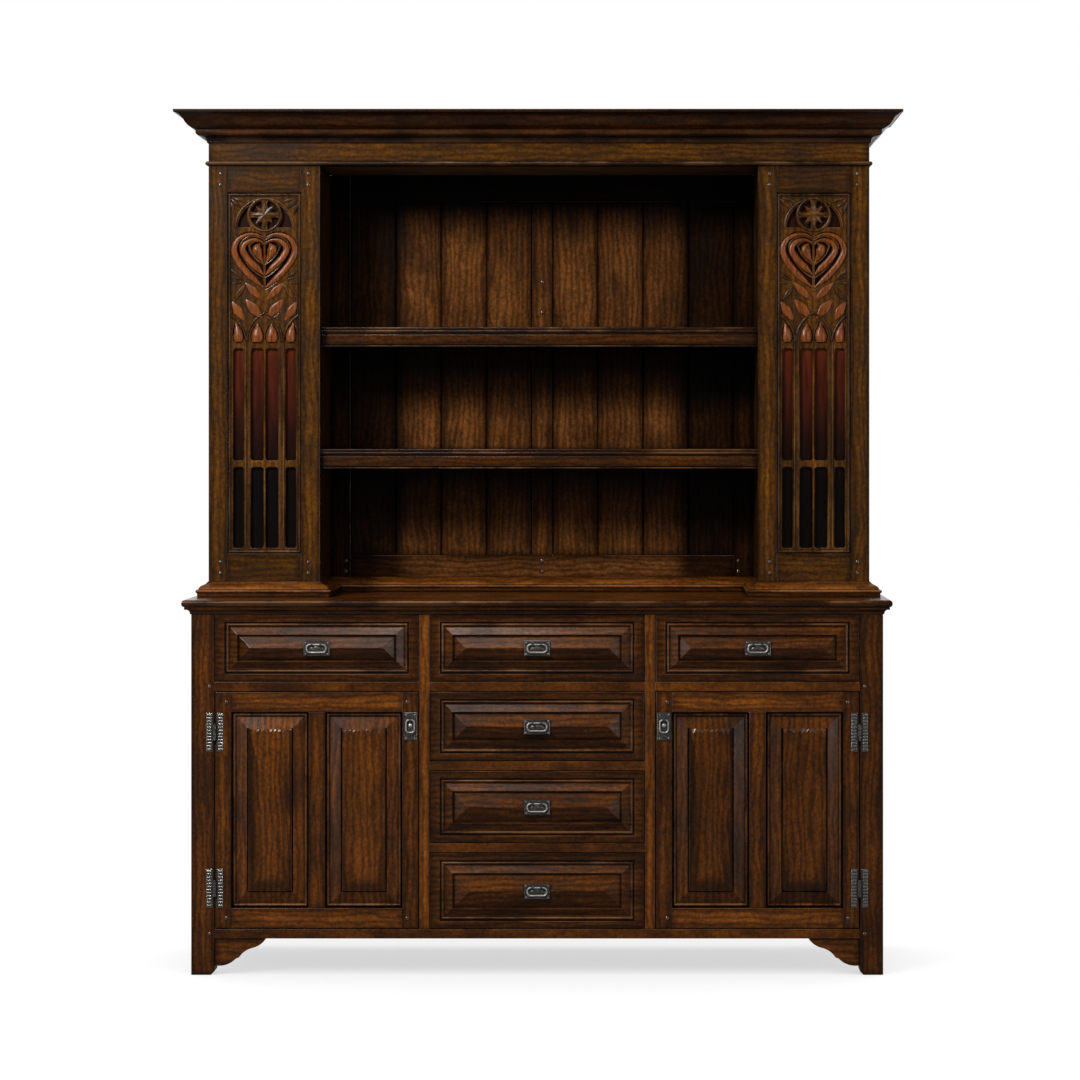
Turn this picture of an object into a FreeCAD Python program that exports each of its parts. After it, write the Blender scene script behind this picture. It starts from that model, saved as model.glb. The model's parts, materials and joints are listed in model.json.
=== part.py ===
import FreeCAD, Part
import math
import os

import Sketcher

# Oak hutch: a cupboard base with six drawers and two panelled doors, and an open upper
# part with two pillars that hold pierced tracery, two shelves, a framed back and a cornice.
# Millimetres, +Z up, front towards -Y, origin under the middle of the whole piece.

SIZES = {
    # Base cupboard, seen from the front
    "base_width": 1730,
    "base_depth": 485,
    "leg_width": 58,
    "foot_height": 91,
    "foot_chamfer": 9,
    "rail_height": 24,
    "divider_height": 23,
    "mullion_width": 26,
    "frame_thickness": 24,
    "centre_bay": 538,
    "lower_drawer_opening": 191,
    "middle_drawer_opening": 182,
    "upper_drawer_opening": 175,
    "top_drawer_opening": 169,
    # Counter and the cove under it
    "counter_thickness": 18,
    "counter_overhang": 22,
    "counter_nose_radius": 8,
    "cove_height": 18,
    "cove_projection": 16,
    # Foot brackets
    "bracket_width": 129,
    "bracket_height": 69,
    "bracket_thickness": 18,
    "bracket_recess": 5,
    # Base inside
    "partition_thickness": 20,
    "floor_thickness": 18,
    "back_board_thickness": 10,
    "back_recess": 8,
    "runner_width": 20,
    "cupboard_shelf_thickness": 18,
    "cupboard_shelf_height": 290,
    "cupboard_shelf_setback": 50,
    "cleat_width": 18,
    # Base sides
    "side_recess": 6,
    "side_thickness": 24,
    "side_rail_height": 70,
    # Doors and their raised panels
    "door_gap": 2,
    "door_thickness": 24,
    "door_stile": 40,
    "door_muntin": 41,
    "door_rail": 50,
    "panel_tongue": 8,
    "panel_plate": 6,
    "panel_recess": 13,
    "panel_clearance": 0.4,
    "panel_quirk": 2,
    "panel_bead": 9,
    "panel_bead_rise": 6,
    "panel_bevel": 29,
    "panel_bevel_rise": 9,
    "panel_field_rise": 12,
    # Drawers
    "drawer_gap": 1.5,
    "drawer_front_thickness": 22,
    "drawer_back_room": 35,
    "drawer_side": 12,
    "drawer_bottom": 7,
    "drawer_bottom_lift": 9,
    "drawer_groove": 5,
    "drawer_headroom": 14,
    "running_clearance": 0.3,
    "front_border": 18,
    "front_end_border": 24,
    "front_sink": 6,
    "front_quirk": 3,
    "front_bead": 8,
    "front_bead_rise": 5,
    "front_bevel": 18,
    "front_bevel_rise": 9,
    "front_hip_gap": 2.5,
    "front_hip_rise": 14,
    # Pulls and rings
    "plate_thickness": 2.5,
    "pull_plate_width": 64,
    "pull_plate_height": 37,
    "pull_bail_width": 53,
    "pull_bail_height": 24,
    "pull_wire": 4.4,
    "pull_axis_rise": 5.4,
    "pull_axis_drop": 9,
    "pull_ear_width": 5,
    "pull_ear_spread": 22,
    "ear_wall": 1.9,
    "pivot_clearance": 0.08,
    "ring_plate_width": 33,
    "ring_plate_height": 69,
    "ring_plate_top": 53,
    "ring_width": 25,
    "ring_height": 35,
    "ring_wire": 4,
    "ring_corner": 7,
    "ring_axis_drop": 18,
    # Hinges
    "hinge_leaf_width": 16,
    "hinge_leaf_height": 96,
    "hinge_leaf_spread": 10,
    "hinge_leaf_thickness": 2.5,
    "hinge_barrel": 11,
    "hinge_barrel_height": 39,
    "hinge_pin": 4,
    "hinge_standoff": 0.3,
    "hinge_end_distance": 102,
    "hinge_pin_overhang": 1.5,
    "knuckle_clearance": 0.3,
    # Door catches
    "catch_width": 14,
    "catch_depth": 22,
    "catch_height": 40,
    "catch_drop": 60,
    # Pegs
    "peg_diameter": 8,
    "peg_length": 14,
    "peg_rise": 0.8,
    "peg_clearance": 0.05,
    "peg_spacing": 28,
    "peg_inset": 12,
    "pillar_peg_inset": 18,
    "back_peg_height": 737,
    "back_peg_spacing": 80,
    # Upper part
    "hutch_width": 1685,
    "hutch_depth": 325,
    "pillar_width": 284,
    "pillar_height": 1099,
    "pillar_stile": 48,
    "pillar_bottom_rail": 110,
    "pillar_top_rail": 69,
    "pillar_frame_thickness": 24,
    "wall_thickness": 18,
    "plinth_height": 39,
    "plinth_projection": 30,
    "frieze_bead_height": 11,
    "frieze_bead_projection": 7.5,
    "frieze_height": 47,
    "cornice_height": 79,
    "cornice_projection": 80,
    "ceiling_thickness": 18,
    "dust_board_thickness": 12,
    "dust_board_drop": 8,
    # Shelves of the upper part
    "shelf_thickness": 22,
    "shelf_housing": 6,
    "shelf_lip_height": 51,
    "shelf_lip_thickness": 20,
    "lower_shelf_height": 377,
    "upper_shelf_height": 689,
    "lower_shelf_setback": 16,
    "upper_shelf_setback": 33,
    # Framed back of the upper part
    "back_frame_thickness": 22,
    "back_stile": 52,
    "back_muntin": 54,
    "back_bottom_rail": 95,
    "back_top_rail": 70,
    "back_board_setback": 4,
    "pillar_back_thickness": 12,
    # Tracery
    "tracery_thickness": 12,
    "tracery_recess": 7,
    "tracery_backing": 5,
    "tracery_edge": 8,
    "tracery_edge_rise": 4,
    "tracery_rib": 9,
    "tracery_margin": 14,
    "lower_light_height": 206,
    "transom_height": 17,
    "tracery_ring": 6,
    "tracery_reed": 4.6,
    "head_height": 47,
    "spray_height": 96,
    "heart_height": 155,
    # Cuts run this far past the faces that they cut
    "overrun": 2,
}

BACK_BOARD_COUNT = 8
PILLAR_BOARD_COUNT = 4

doc = FreeCAD.newDocument("Hutch")
sheet = doc.addObject("Spreadsheet::Sheet", "Sizes")
for row, (alias, number) in enumerate(SIZES.items(), start=1):
    sheet.set(f"A{row}", alias)
    sheet.set(f"B{row}", str(number))
    sheet.setAlias(f"B{row}", alias)
doc.recompute()


class Size:
    """A length with the spreadsheet formula that gives it."""

    def __init__(self, number, formula):
        self.number = number
        self.formula = formula

    def __add__(self, other):
        other = as_size(other)
        return Size(self.number + other.number, f"({self.formula} + {other.formula})")

    def __sub__(self, other):
        other = as_size(other)
        return Size(self.number - other.number, f"({self.formula} - {other.formula})")

    def __mul__(self, count):
        return Size(self.number * count, f"({self.formula} * {count})")

    def __truediv__(self, count):
        return Size(self.number / count, f"({self.formula} / {count})")

    def __neg__(self):
        return Size(-self.number, f"(-1 * {self.formula})")

    __rmul__ = __mul__


ZERO = Size(0, "0")


def as_size(value):
    return value if isinstance(value, Size) else Size(value, str(value))


def distance(across, along):
    """The length of a slanted line from its two runs."""
    return Size(
        math.hypot(across.number, along.number),
        f"sqrt({across.formula} * {across.formula} + {along.formula} * {along.formula})",
    )


class SheetSizes:
    """Reads a named size from the spreadsheet, as size.leg_width."""

    def __getattr__(self, alias):
        return Size(float(sheet.get(alias)), f"Sizes.{alias}")


size = SheetSizes()
nodes = {}

# Shapes of round stretches, as the height of an arc over the length of its chord
QUARTER_SHARE = 0.207
HALF_SHARE = 0.44
SHALLOW_SHARE = 0.1
LEAF_SHARE = 0.2
LOBE_SHARE = 0.3

OUTWARD = 1
SQUARE = 0
INWARD = -1


def bind(item, place, length):
    item.setExpression(place, as_size(length).formula)


def put(item, at):
    for axis, length in zip("xyz", at):
        bind(item, f"Placement.Base.{axis}", length)
    return item


def turn(item, axis, degrees):
    item.Placement.Rotation = FreeCAD.Rotation(FreeCAD.Vector(*axis), degrees)
    return item


def board(name, across, deep, high):
    """A straight piece between two places on each axis."""
    item = doc.addObject("Part::Box", name)
    spans = (across, deep, high)
    for side, (low, top) in zip(("Length", "Width", "Height"), spans):
        bind(item, side, top - low)
    return put(item, [low for low, top in spans])


def side_span(sign, near, far):
    """The span from near to far of the middle plane, on the left (-1) or right (1)."""
    return (near, far) if sign > 0 else (-far, -near)


def round_bar(name, diameter, length, at, axis=None, degrees=0):
    item = doc.addObject("Part::Cylinder", name)
    bind(item, "Radius", diameter / 2)
    bind(item, "Height", length)
    if axis:
        turn(item, axis, degrees)
    return put(item, at)


def cut(name, base, tools):
    item = doc.addObject("Part::Cut", name)
    item.Base = base
    item.Tool = tools[0] if len(tools) == 1 else together(f"{name}_tools", tools)
    return item


def fuse(name, pieces):
    item = doc.addObject("Part::MultiFuse", name)
    item.Shapes = pieces
    item.Refine = True
    return item


def together(name, pieces):
    item = doc.addObject("Part::Compound", name)
    item.Links = pieces
    return item


def copy_at(name, piece, at):
    """The same piece once more, moved to another place."""
    return put(together(name, [piece]), at)


def node(label, pieces):
    """One named sub-part of the hutch, of one solid or of several."""
    item = together(label, pieces)
    item.Label = label
    nodes[label] = item
    return item


def new_body(name):
    return doc.addObject("PartDesign::Body", name)


def origin_plane(body, role):
    return next(item for item in body.Origin.OriginFeatures if item.Role == role)


def new_sketch(body, role, name):
    drawing = body.newObject("Sketcher::SketchObject", name)
    drawing.AttachmentSupport = [(origin_plane(body, role), "")]
    drawing.MapMode = "FlatFace"
    return drawing


def line_to(across, along):
    return (across, along, 0)


def arc_to(across, along, bulge_share):
    """An arc that swells to the left of its way for a positive share, else to the right."""
    return (across, along, bulge_share)


def pin_point(index, end, across, along):
    """Constraints, each with its formula, that tie one end of a line to its place."""
    for kind, length in (("DistanceX", across), ("DistanceY", along)):
        yield Sketcher.Constraint(kind, index, end, length.number), length.formula


def arc_geometry(start, finish, bulge_share, radius):
    """The arc, and which of its ends is the start: it always runs anticlockwise."""
    if bulge_share > 0:
        start, finish = finish, start
    chord = finish - start
    middle = (start + finish) / 2
    left = FreeCAD.Vector(-chord.y, chord.x, 0) / chord.Length
    centre = middle + left * math.sqrt(max(radius**2 - (chord.Length / 2) ** 2, 0))
    circle = Part.Circle(centre, FreeCAD.Vector(0, 0, 1), radius)
    first = math.atan2(start.y - centre.y, start.x - centre.x)
    last = math.atan2(finish.y - centre.y, finish.x - centre.x)
    return Part.ArcOfCircle(circle, first, last if last > first else last + 2 * math.pi)


def add_constraints(drawing, constraints):
    """Adds (constraint, formula) pairs to a sketch in one go."""
    first = len(drawing.Constraints)
    drawing.addConstraint([constraint for constraint, formula in constraints])
    for number, (constraint, formula) in enumerate(constraints, start=first):
        if formula:
            drawing.setExpression(f"Constraints[{number}]", formula)


def outline(drawing, points):
    """Draws a closed outline through points made by line_to and arc_to."""
    shapes = []
    lines = []
    constraints = []
    first_index = drawing.GeometryCount
    for index, (before, point) in enumerate(zip(points[-1:] + points[:-1], points), start=first_index):
        start = FreeCAD.Vector(before[0].number, before[1].number, 0)
        finish = FreeCAD.Vector(point[0].number, point[1].number, 0)
        bulge_share = point[2]
        if bulge_share == 0:
            shapes.append(Part.LineSegment(start, finish))
            lines.append((index, 1, 2))
        else:
            factor = 1 / (8 * abs(bulge_share)) + abs(bulge_share) / 2
            radius = distance(point[0] - before[0], point[1] - before[1]) * factor
            shapes.append(arc_geometry(start, finish, bulge_share, radius.number))
            lines.append((index, 2, 1) if bulge_share > 0 else (index, 1, 2))
            constraints.append((Sketcher.Constraint("Radius", index, radius.number), radius.formula))
    for before, after in zip(lines[-1:] + lines[:-1], lines):
        meeting = Sketcher.Constraint("Coincident", before[0], before[2], after[0], after[1])
        constraints.append((meeting, None))
    for (index, first, last), point in zip(lines, points):
        constraints.extend(pin_point(index, last, point[0], point[1]))
    drawing.addGeometry(shapes)
    add_constraints(drawing, constraints)


def pad(body, drawing, length, name):
    item = body.newObject("PartDesign::Pad", name)
    item.Profile = drawing
    bind(item, "Length", length)
    return item


def pocket_through(body, drawing, name):
    item = body.newObject("PartDesign::Pocket", name)
    item.Profile = drawing
    item.Type = "ThroughAll"
    item.SideType = "Symmetric"
    return item


def block(body, name, across, deep, high, kind="PartDesign::AdditiveBox"):
    """A straight block that is added to a body, or cut from it."""
    item = body.newObject(kind, name)
    spans = (across, deep, high)
    for side, (low, top) in zip(("Length", "Width", "Height"), spans):
        bind(item, side, top - low)
    return put(item, [low for low, top in spans])


def bevelled_block(body, name, base_across, base_high, top_across, top_high, floor, rise):
    """A block that rises towards the front (-Y) and narrows to its top rectangle or ridge."""
    item = body.newObject("PartDesign::AdditiveWedge", name)
    bind(item, "Xmin", base_across[0])
    bind(item, "Xmax", base_across[1])
    bind(item, "X2min", top_across[0])
    bind(item, "X2max", top_across[1])
    bind(item, "Zmin", -base_high[1])
    bind(item, "Zmax", -base_high[0])
    bind(item, "Z2min", -top_high[1])
    bind(item, "Z2max", -top_high[0])
    bind(item, "Ymin", ZERO)
    bind(item, "Ymax", rise)
    turn(item, (1, 0, 0), 180)
    return put(item, (ZERO, floor, ZERO))


def ring_moulding(body, name, across, high, points):
    """Carries a profile round a rectangle on the front of a body, with mitred corners.

    The profile's points are (depth, height above the lower edge of the rectangle).
    """
    path = new_sketch(body, "XZ_Plane", f"{name}_path")
    corners = (
        (ZERO, high[0]),
        (across[1], high[0]),
        (across[1], high[1]),
        (across[0], high[1]),
        (across[0], high[0]),
    )
    outline(path, [line_to(*corner) for corner in corners])
    profile = new_sketch(body, "YZ_Plane", f"{name}_profile")
    outline(profile, [(depth, high[0] + height, bulge) for depth, height, bulge in points])
    item = body.newObject("PartDesign::AdditivePipe", name)
    item.Profile = profile
    edges = [f"Edge{number}" for number in range(1, len(corners) + 1)]
    item.Spine = (path, edges[1:] + edges[:1])
    item.Transition = "Right corner"
    return item


def moulding_run(name, points, length, projection, start, finish):
    """A straight length of moulding along +X that stands out to +Y.

    Each end is square, or mitred for an outward or an inward corner.
    """
    body = new_body(name)
    low = -projection if start == OUTWARD else ZERO
    top = length + projection if finish == OUTWARD else length
    profile = new_sketch(body, "YZ_Plane", f"{name}_profile")
    profile.AttachmentOffset = FreeCAD.Placement(FreeCAD.Vector(0, 0, low.number), FreeCAD.Rotation())
    bind(profile, "AttachmentOffset.Base.z", low)
    outline(profile, points)
    pad(body, profile, top - low, f"{name}_length")
    far = projection + size.overrun
    waste = []
    for end, way, mitre in ((ZERO, 1, start), (length, -1, finish)):
        near_line = end + way * size.overrun * mitre
        far_line = end - way * far * mitre
        outer = far_line if mitre == OUTWARD else near_line
        waste.append((mitre, near_line, far_line, outer))
    if start != SQUARE or finish != SQUARE:
        mitres = new_sketch(body, "XY_Plane", f"{name}_mitres")
        for mitre, near_line, far_line, outer in waste:
            if mitre == SQUARE:
                continue
            square_corner = -size.overrun if mitre == OUTWARD else far
            outline(
                mitres,
                [
                    line_to(near_line, -size.overrun),
                    line_to(far_line, far),
                    line_to(outer, square_corner),
                ],
            )
        pocket_through(body, mitres, f"{name}_mitre_cut")
    return body


# Profiles from below: each point is a share of the reach, a share of the rise and the
# swell of the arc that leads to it

COVE_SHARES = (
    (0, 0, 0),
    (0.2, 0, 0),
    (0.2, 0.18, 0),
    (0.8, 0.64, QUARTER_SHARE),
    (1, 0.64, 0),
    (1, 1, 0),
    (0, 1, 0),
)
# A small bead, a plain band, a groove and two reeds
SHELF_LIP_SHARES = (
    (0, 0, 0),
    (0.9, 0, 0),
    (0.9, 0.08, -HALF_SHARE),
    (0.7, 0.08, 0),
    (0.7, 0.12, 0),
    (0.85, 0.12, 0),
    (0.85, 0.62, 0),
    (0.7, 0.62, 0),
    (0.7, 0.71, 0),
    (0.9, 0.71, 0),
    (0.9, 0.855, -LEAF_SHARE),
    (0.9, 1, -LEAF_SHARE),
    (0, 1, 0),
)
# A plain foot, a bead, a quirk and an ogee back to the pillar
PLINTH_SHARES = (
    (0, 0, 0),
    (0.87, 0, 0),
    (0.87, 0.26, 0),
    (0.87, 0.48, -HALF_SHARE),
    (0.78, 0.48, 0),
    (0.78, 0.54, 0),
    (0.42, 0.78, -SHALLOW_SHARE),
    (0.06, 1, SHALLOW_SHARE),
    (0, 1, 0),
)
FRIEZE_BEAD_SHARES = (
    (0, 0, 0),
    (0.35, 0, 0),
    (0.35, 1, -HALF_SHARE),
    (0, 1, 0),
)
# A fillet, a cove, an ovolo, a step, a long cyma and the top fillet
CORNICE_SHARES = (
    (0, 0, 0),
    (0.05, 0, 0),
    (0.05, 0.04, 0),
    (0.22, 0.21, QUARTER_SHARE),
    (0.25, 0.21, 0),
    (0.375, 0.34, -QUARTER_SHARE),
    (0.375, 0.42, 0),
    (0.41, 0.42, 0),
    (0.69, 0.66, -SHALLOW_SHARE),
    (0.97, 0.91, SHALLOW_SHARE),
    (1, 0.91, 0),
    (1, 1, 0),
    (0, 1, 0),
)


def shaped_points(reach, rise, profile_shares):
    return [(reach * across, rise * along, bulge) for across, along, bulge in profile_shares]


# Main places

back = (size.base_depth + size.counter_overhang) / 2
front = back - size.base_depth
half_base = size.base_width / 2
leg_inside = half_base - size.leg_width
frame_back = front + size.frame_thickness
back_board_front = back - size.back_recess - size.back_board_thickness
half_centre = size.centre_bay / 2
mullion_outside = half_centre + size.mullion_width
partition_inside = half_centre + (size.mullion_width - size.partition_thickness) / 2
partition_outside = partition_inside + size.partition_thickness

bottom_rail_top = size.foot_height + size.rail_height
lower_divider = bottom_rail_top + size.lower_drawer_opening
middle_bottom = lower_divider + size.divider_height
upper_divider = middle_bottom + size.middle_drawer_opening
upper_bottom = upper_divider + size.divider_height
mid_rail = upper_bottom + size.upper_drawer_opening
top_bottom = mid_rail + size.rail_height
top_rail = top_bottom + size.top_drawer_opening
carcass_top = top_rail + size.cove_height
counter_top = carcass_top + size.counter_thickness

half_hutch = size.hutch_width / 2
hutch_front = back - size.hutch_depth
pillar_inside = half_hutch - size.pillar_width
pillar_frame_back = hutch_front + size.pillar_frame_thickness
pillar_middle = half_hutch - size.pillar_width / 2
pillar_top = counter_top + size.pillar_height
frieze_low = pillar_top + size.frieze_bead_height
cornice_low = frieze_low + size.frieze_height
cornice_top = cornice_low + size.cornice_height
carcase_rim = cornice_top - size.dust_board_drop - size.dust_board_thickness
wall_inside = pillar_inside + size.wall_thickness
outer_wall = half_hutch - size.wall_thickness
back_frame_back = back - size.back_recess
back_frame_front = back_frame_back - size.back_frame_thickness
panel_low = counter_top + size.pillar_bottom_rail
panel_top = pillar_top - size.pillar_top_rail

SIDES = (("left", -1), ("right", 1))


# Pegs stand a little proud of the front face of a piece, each in its own hole

def peg_and_hole(name, across, height, face):
    """A peg that lies along Y in a hole from the face at the given depth."""
    depth = face + size.peg_length - size.peg_rise
    peg = round_bar(f"{name}_peg", size.peg_diameter, size.peg_length, (across, depth, height), (1, 0, 0), 90)
    bore = size.peg_diameter + 2 * size.peg_clearance
    hole_depth = size.peg_length + size.overrun
    hole_at = (across, depth + size.peg_clearance, height)
    hole = round_bar(f"{name}_hole", bore, hole_depth, hole_at, (1, 0, 0), 90)
    return peg, hole


def pegged(name, piece, places, face):
    """Bores a piece for pegs at (across, height) places and gives the piece and the pegs."""
    pairs = [peg_and_hole(f"{name}_{number}", *place, face) for number, place in enumerate(places, start=1)]
    bored = cut(f"{name}_bored", piece, [hole for peg, hole in pairs])
    return bored, [peg for peg, hole in pairs]


joint_pegs = []


# Base: legs, face frame and foot brackets

def front_leg(side, sign):
    """A square leg whose inner foot corner is cut off at a slant."""
    body = new_body(f"front_leg_{side}")
    drawing = new_sketch(body, "XZ_Plane", f"front_leg_{side}_outline")
    inner = sign * leg_inside
    outer = sign * half_base
    outline(
        drawing,
        [
            line_to(inner, size.foot_chamfer),
            line_to(inner + sign * size.foot_chamfer, ZERO),
            line_to(outer, ZERO),
            line_to(outer, carcass_top),
            line_to(inner, carcass_top),
        ],
    )
    pad(body, drawing, size.leg_width, f"front_leg_{side}_depth")
    put(body, (ZERO, front + size.leg_width, ZERO))
    middle = sign * (leg_inside + size.peg_inset)
    places = [(middle, size.foot_height + size.rail_height / 2), (middle, mid_rail + size.rail_height / 2)]
    bored, pegs = pegged(f"front_leg_{side}", body, places, front)
    joint_pegs.extend(pegs)
    return bored


def legs(side_grooves):
    """Four legs, grooved for the panels of the sides."""
    depth = (back - size.leg_width, back)
    front_legs = []
    back_legs = []
    for side, sign in SIDES:
        front_legs.append(cut(f"front_leg_{side}_grooved", front_leg(side, sign), side_grooves[side]))
        across = side_span(sign, leg_inside, half_base)
        post = board(f"back_leg_{side}", across, depth, (ZERO, carcass_top))
        back_legs.append(cut(f"back_leg_{side}_grooved", post, side_grooves[side]))
    node("front_legs", front_legs)
    node("back_legs", back_legs)


def face_frame():
    """Rails, mullions and drawer dividers, flush with the front of the legs."""
    depth = (front, frame_back)
    whole = (-leg_inside, leg_inside)
    centre = (-half_centre, half_centre)
    pieces = [
        board("bottom_rail", whole, depth, (size.foot_height, bottom_rail_top)),
        board("top_rail", whole, depth, (top_rail, carcass_top)),
        board("centre_mid_rail", centre, depth, (mid_rail, top_bottom)),
        board("lower_divider", centre, depth, (lower_divider, middle_bottom)),
        board("upper_divider", centre, depth, (upper_divider, upper_bottom)),
    ]
    for side, sign in SIDES:
        bay = side_span(sign, mullion_outside, leg_inside)
        pieces.append(board(f"{side}_mid_rail", bay, depth, (mid_rail, top_bottom)))
        upright = side_span(sign, half_centre, mullion_outside)
        pieces.append(board(f"{side}_mullion", upright, depth, (bottom_rail_top, top_rail)))
    node("face_frame", pieces)


def foot_bracket(side, sign):
    """A shaped bracket between a front leg and the bottom rail: an ogee, a step and a cove."""
    body = new_body(f"foot_bracket_{side}")
    drawing = new_sketch(body, "XZ_Plane", f"foot_bracket_{side}_outline")
    ogee_shares = ((0.74, 0.35, SHALLOW_SHARE), (0.47, 0.70, -SHALLOW_SHARE))
    step_shares = ((0.41, 0.74, 0), (0.10, 1.0, SHALLOW_SHARE))
    points = [line_to(sign * (leg_inside - size.bracket_width), size.foot_height)]
    for across_share, down_share, bulge in ogee_shares + step_shares:
        across = sign * (leg_inside - size.bracket_width * across_share)
        points.append((across, size.foot_height - size.bracket_height * down_share, -sign * bulge))
    points.append(line_to(sign * leg_inside, size.foot_height - size.bracket_height))
    points.append(line_to(sign * leg_inside, size.foot_height))
    outline(drawing, points)
    pad(body, drawing, size.bracket_thickness, f"foot_bracket_{side}_thickness")
    return put(body, (ZERO, front + size.bracket_recess + size.bracket_thickness, ZERO))


def foot_brackets():
    node("foot_brackets", [foot_bracket(side, sign) for side, sign in SIDES])


# Raised panels: a plate in the grooves of its frame, a bead, a bevel and a flat field

def raised_panel(name, width, height):
    """A panel for an opening of this size, centred on X and standing on z = 0.

    Its frame's front face lies at y = 0 and the panel's front plane behind it.
    """
    body = new_body(name)
    across = (-width / 2, width / 2)
    tongue = size.panel_tongue
    floor = size.panel_recess
    block(
        body,
        f"{name}_plate",
        (across[0] - tongue, across[1] + tongue),
        (floor, floor + size.panel_plate),
        (-tongue, height + tongue),
    )
    inset = size.panel_quirk
    buried = floor + size.panel_plate / 2
    bead = size.panel_bead
    ring_moulding(
        body,
        f"{name}_bead",
        across,
        (ZERO, height),
        [
            (buried, inset, 0),
            (floor, inset, 0),
            (floor - size.panel_bead_rise, inset + bead / 2, QUARTER_SHARE),
            (floor, inset + bead, QUARTER_SHARE),
            (buried, inset + bead, 0),
        ],
    )
    bevel_start = 2 * inset + bead
    field_inset = bevel_start + size.panel_bevel
    low = (across[0] + bevel_start, across[1] - bevel_start)
    top = (across[0] + field_inset, across[1] - field_inset)
    bevelled_block(
        body,
        f"{name}_bevel",
        low,
        (bevel_start, height - bevel_start),
        top,
        (field_inset, height - field_inset),
        floor,
        size.panel_bevel_rise,
    )
    block(
        body,
        f"{name}_field",
        top,
        (floor - size.panel_field_rise, floor),
        (field_inset, height - field_inset),
    )
    return body


def panel_groove(name, width, height, at):
    """The room that a panel's tongue needs in its frame."""
    reach = size.panel_tongue + size.panel_clearance
    room = size.panel_clearance
    item = board(
        name,
        (-width / 2 - reach, width / 2 + reach),
        (size.panel_recess - room, size.panel_recess + size.panel_plate + room),
        (-reach, height + reach),
    )
    return copy_at(f"{name}_place", item, at)


def base_sides():
    """Each side of the base: two rails, a muntin and two raised panels between the legs.

    Gives the room that the panels need in the legs.
    """
    depth_low = front + size.leg_width
    depth_top = back - size.leg_width
    low = size.foot_height + size.side_rail_height
    top = carcass_top - size.side_rail_height
    opening = (depth_top - depth_low - size.door_muntin) / 2
    middle = (depth_low + depth_top) / 2
    panel = raised_panel("side_panel", opening, top - low)
    pieces = []
    side_grooves = {}
    for side, sign in SIDES:
        face = half_base - size.side_recess
        across = side_span(sign, face - size.side_thickness, face)
        panels = []
        grooves = []
        for number, offset in enumerate((-1, 1), start=1):
            away = (opening + size.door_muntin) / 2
            at = (sign * face, middle + offset * away, low)
            quarter = 90 * sign
            name = f"side_panel_{side}_{number}"
            panels.append(turn(copy_at(name, panel, at), (0, 0, 1), quarter))
            groove = panel_groove(f"side_groove_{side}_{number}", opening, top - low, at)
            grooves.append(turn(groove, (0, 0, 1), quarter))
        rails = [
            board(f"side_bottom_rail_{side}", across, (depth_low, depth_top), (size.foot_height, low)),
            board(f"side_top_rail_{side}", across, (depth_low, depth_top), (top, carcass_top)),
            board(
                f"side_muntin_{side}",
                across,
                (middle - size.door_muntin / 2, middle + size.door_muntin / 2),
                (low, top),
            ),
        ]
        pieces.extend(cut(f"{rail.Name}_grooved", rail, grooves) for rail in rails)
        pieces.extend(panels)
        side_grooves[side] = grooves
    node("base_sides", pieces)
    return side_grooves


def base_inside():
    """Floor, partitions, back boards, drawer runners and the two cupboard shelves."""
    side_face = half_base - size.side_recess - size.side_thickness
    floor_high = (bottom_rail_top - size.floor_thickness, bottom_rail_top)
    between_legs = (front + size.leg_width, back - size.leg_width)
    floor_boards = [
        board("floor_board", (-leg_inside, leg_inside), (frame_back, back_board_front), floor_high),
        board("floor_ears", (-side_face, side_face), between_legs, floor_high),
    ]
    node("base_floor", [fuse("floor", floor_boards)])

    pieces = []
    for side, sign in SIDES:
        across = side_span(sign, partition_inside, partition_outside)
        depth = (frame_back, back_board_front)
        pieces.append(board(f"partition_{side}", across, depth, (bottom_rail_top, carcass_top)))
    node("partitions", pieces)

    pieces = []
    width = 2 * leg_inside / BACK_BOARD_COUNT
    depth = (back_board_front, back - size.back_recess)
    for number in range(BACK_BOARD_COUNT):
        low = width * number - leg_inside
        high = (size.foot_height, carcass_top)
        pieces.append(board(f"base_back_board_{number + 1}", (low, low + width), depth, high))
    node("base_back", pieces)

    pieces = []
    depth = (frame_back, back_board_front)
    levels = (
        ("middle", lower_divider, middle_bottom),
        ("upper", upper_divider, upper_bottom),
        ("top", mid_rail, top_bottom),
    )
    for side, sign in SIDES:
        inner = side_span(sign, partition_inside - size.runner_width, partition_inside)
        for level, low, top in levels:
            pieces.append(board(f"{level}_runner_{side}", inner, depth, (low, top)))
        for place, near in (("inner", partition_outside), ("outer", leg_inside - size.runner_width)):
            across = side_span(sign, near, near + size.runner_width)
            pieces.append(board(f"{place}_side_runner_{side}", across, depth, (mid_rail, top_bottom)))
    node("drawer_runners", pieces)

    pieces = []
    shelf_low = bottom_rail_top + size.cupboard_shelf_height
    shelf_high = (shelf_low, shelf_low + size.cupboard_shelf_thickness)
    cleat_high = (shelf_low - size.cleat_width, shelf_low)
    depth = (frame_back + size.cupboard_shelf_setback, back_board_front)
    for side, sign in SIDES:
        across = side_span(sign, partition_outside, leg_inside)
        pieces.append(board(f"cupboard_shelf_{side}", across, depth, shelf_high))
        for place, near in (("inner", partition_outside), ("outer", leg_inside - size.cleat_width)):
            cleat = side_span(sign, near, near + size.cleat_width)
            pieces.append(board(f"{place}_cleat_{side}", cleat, depth, cleat_high))
    node("cupboard_shelves", pieces)


# Counter

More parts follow.
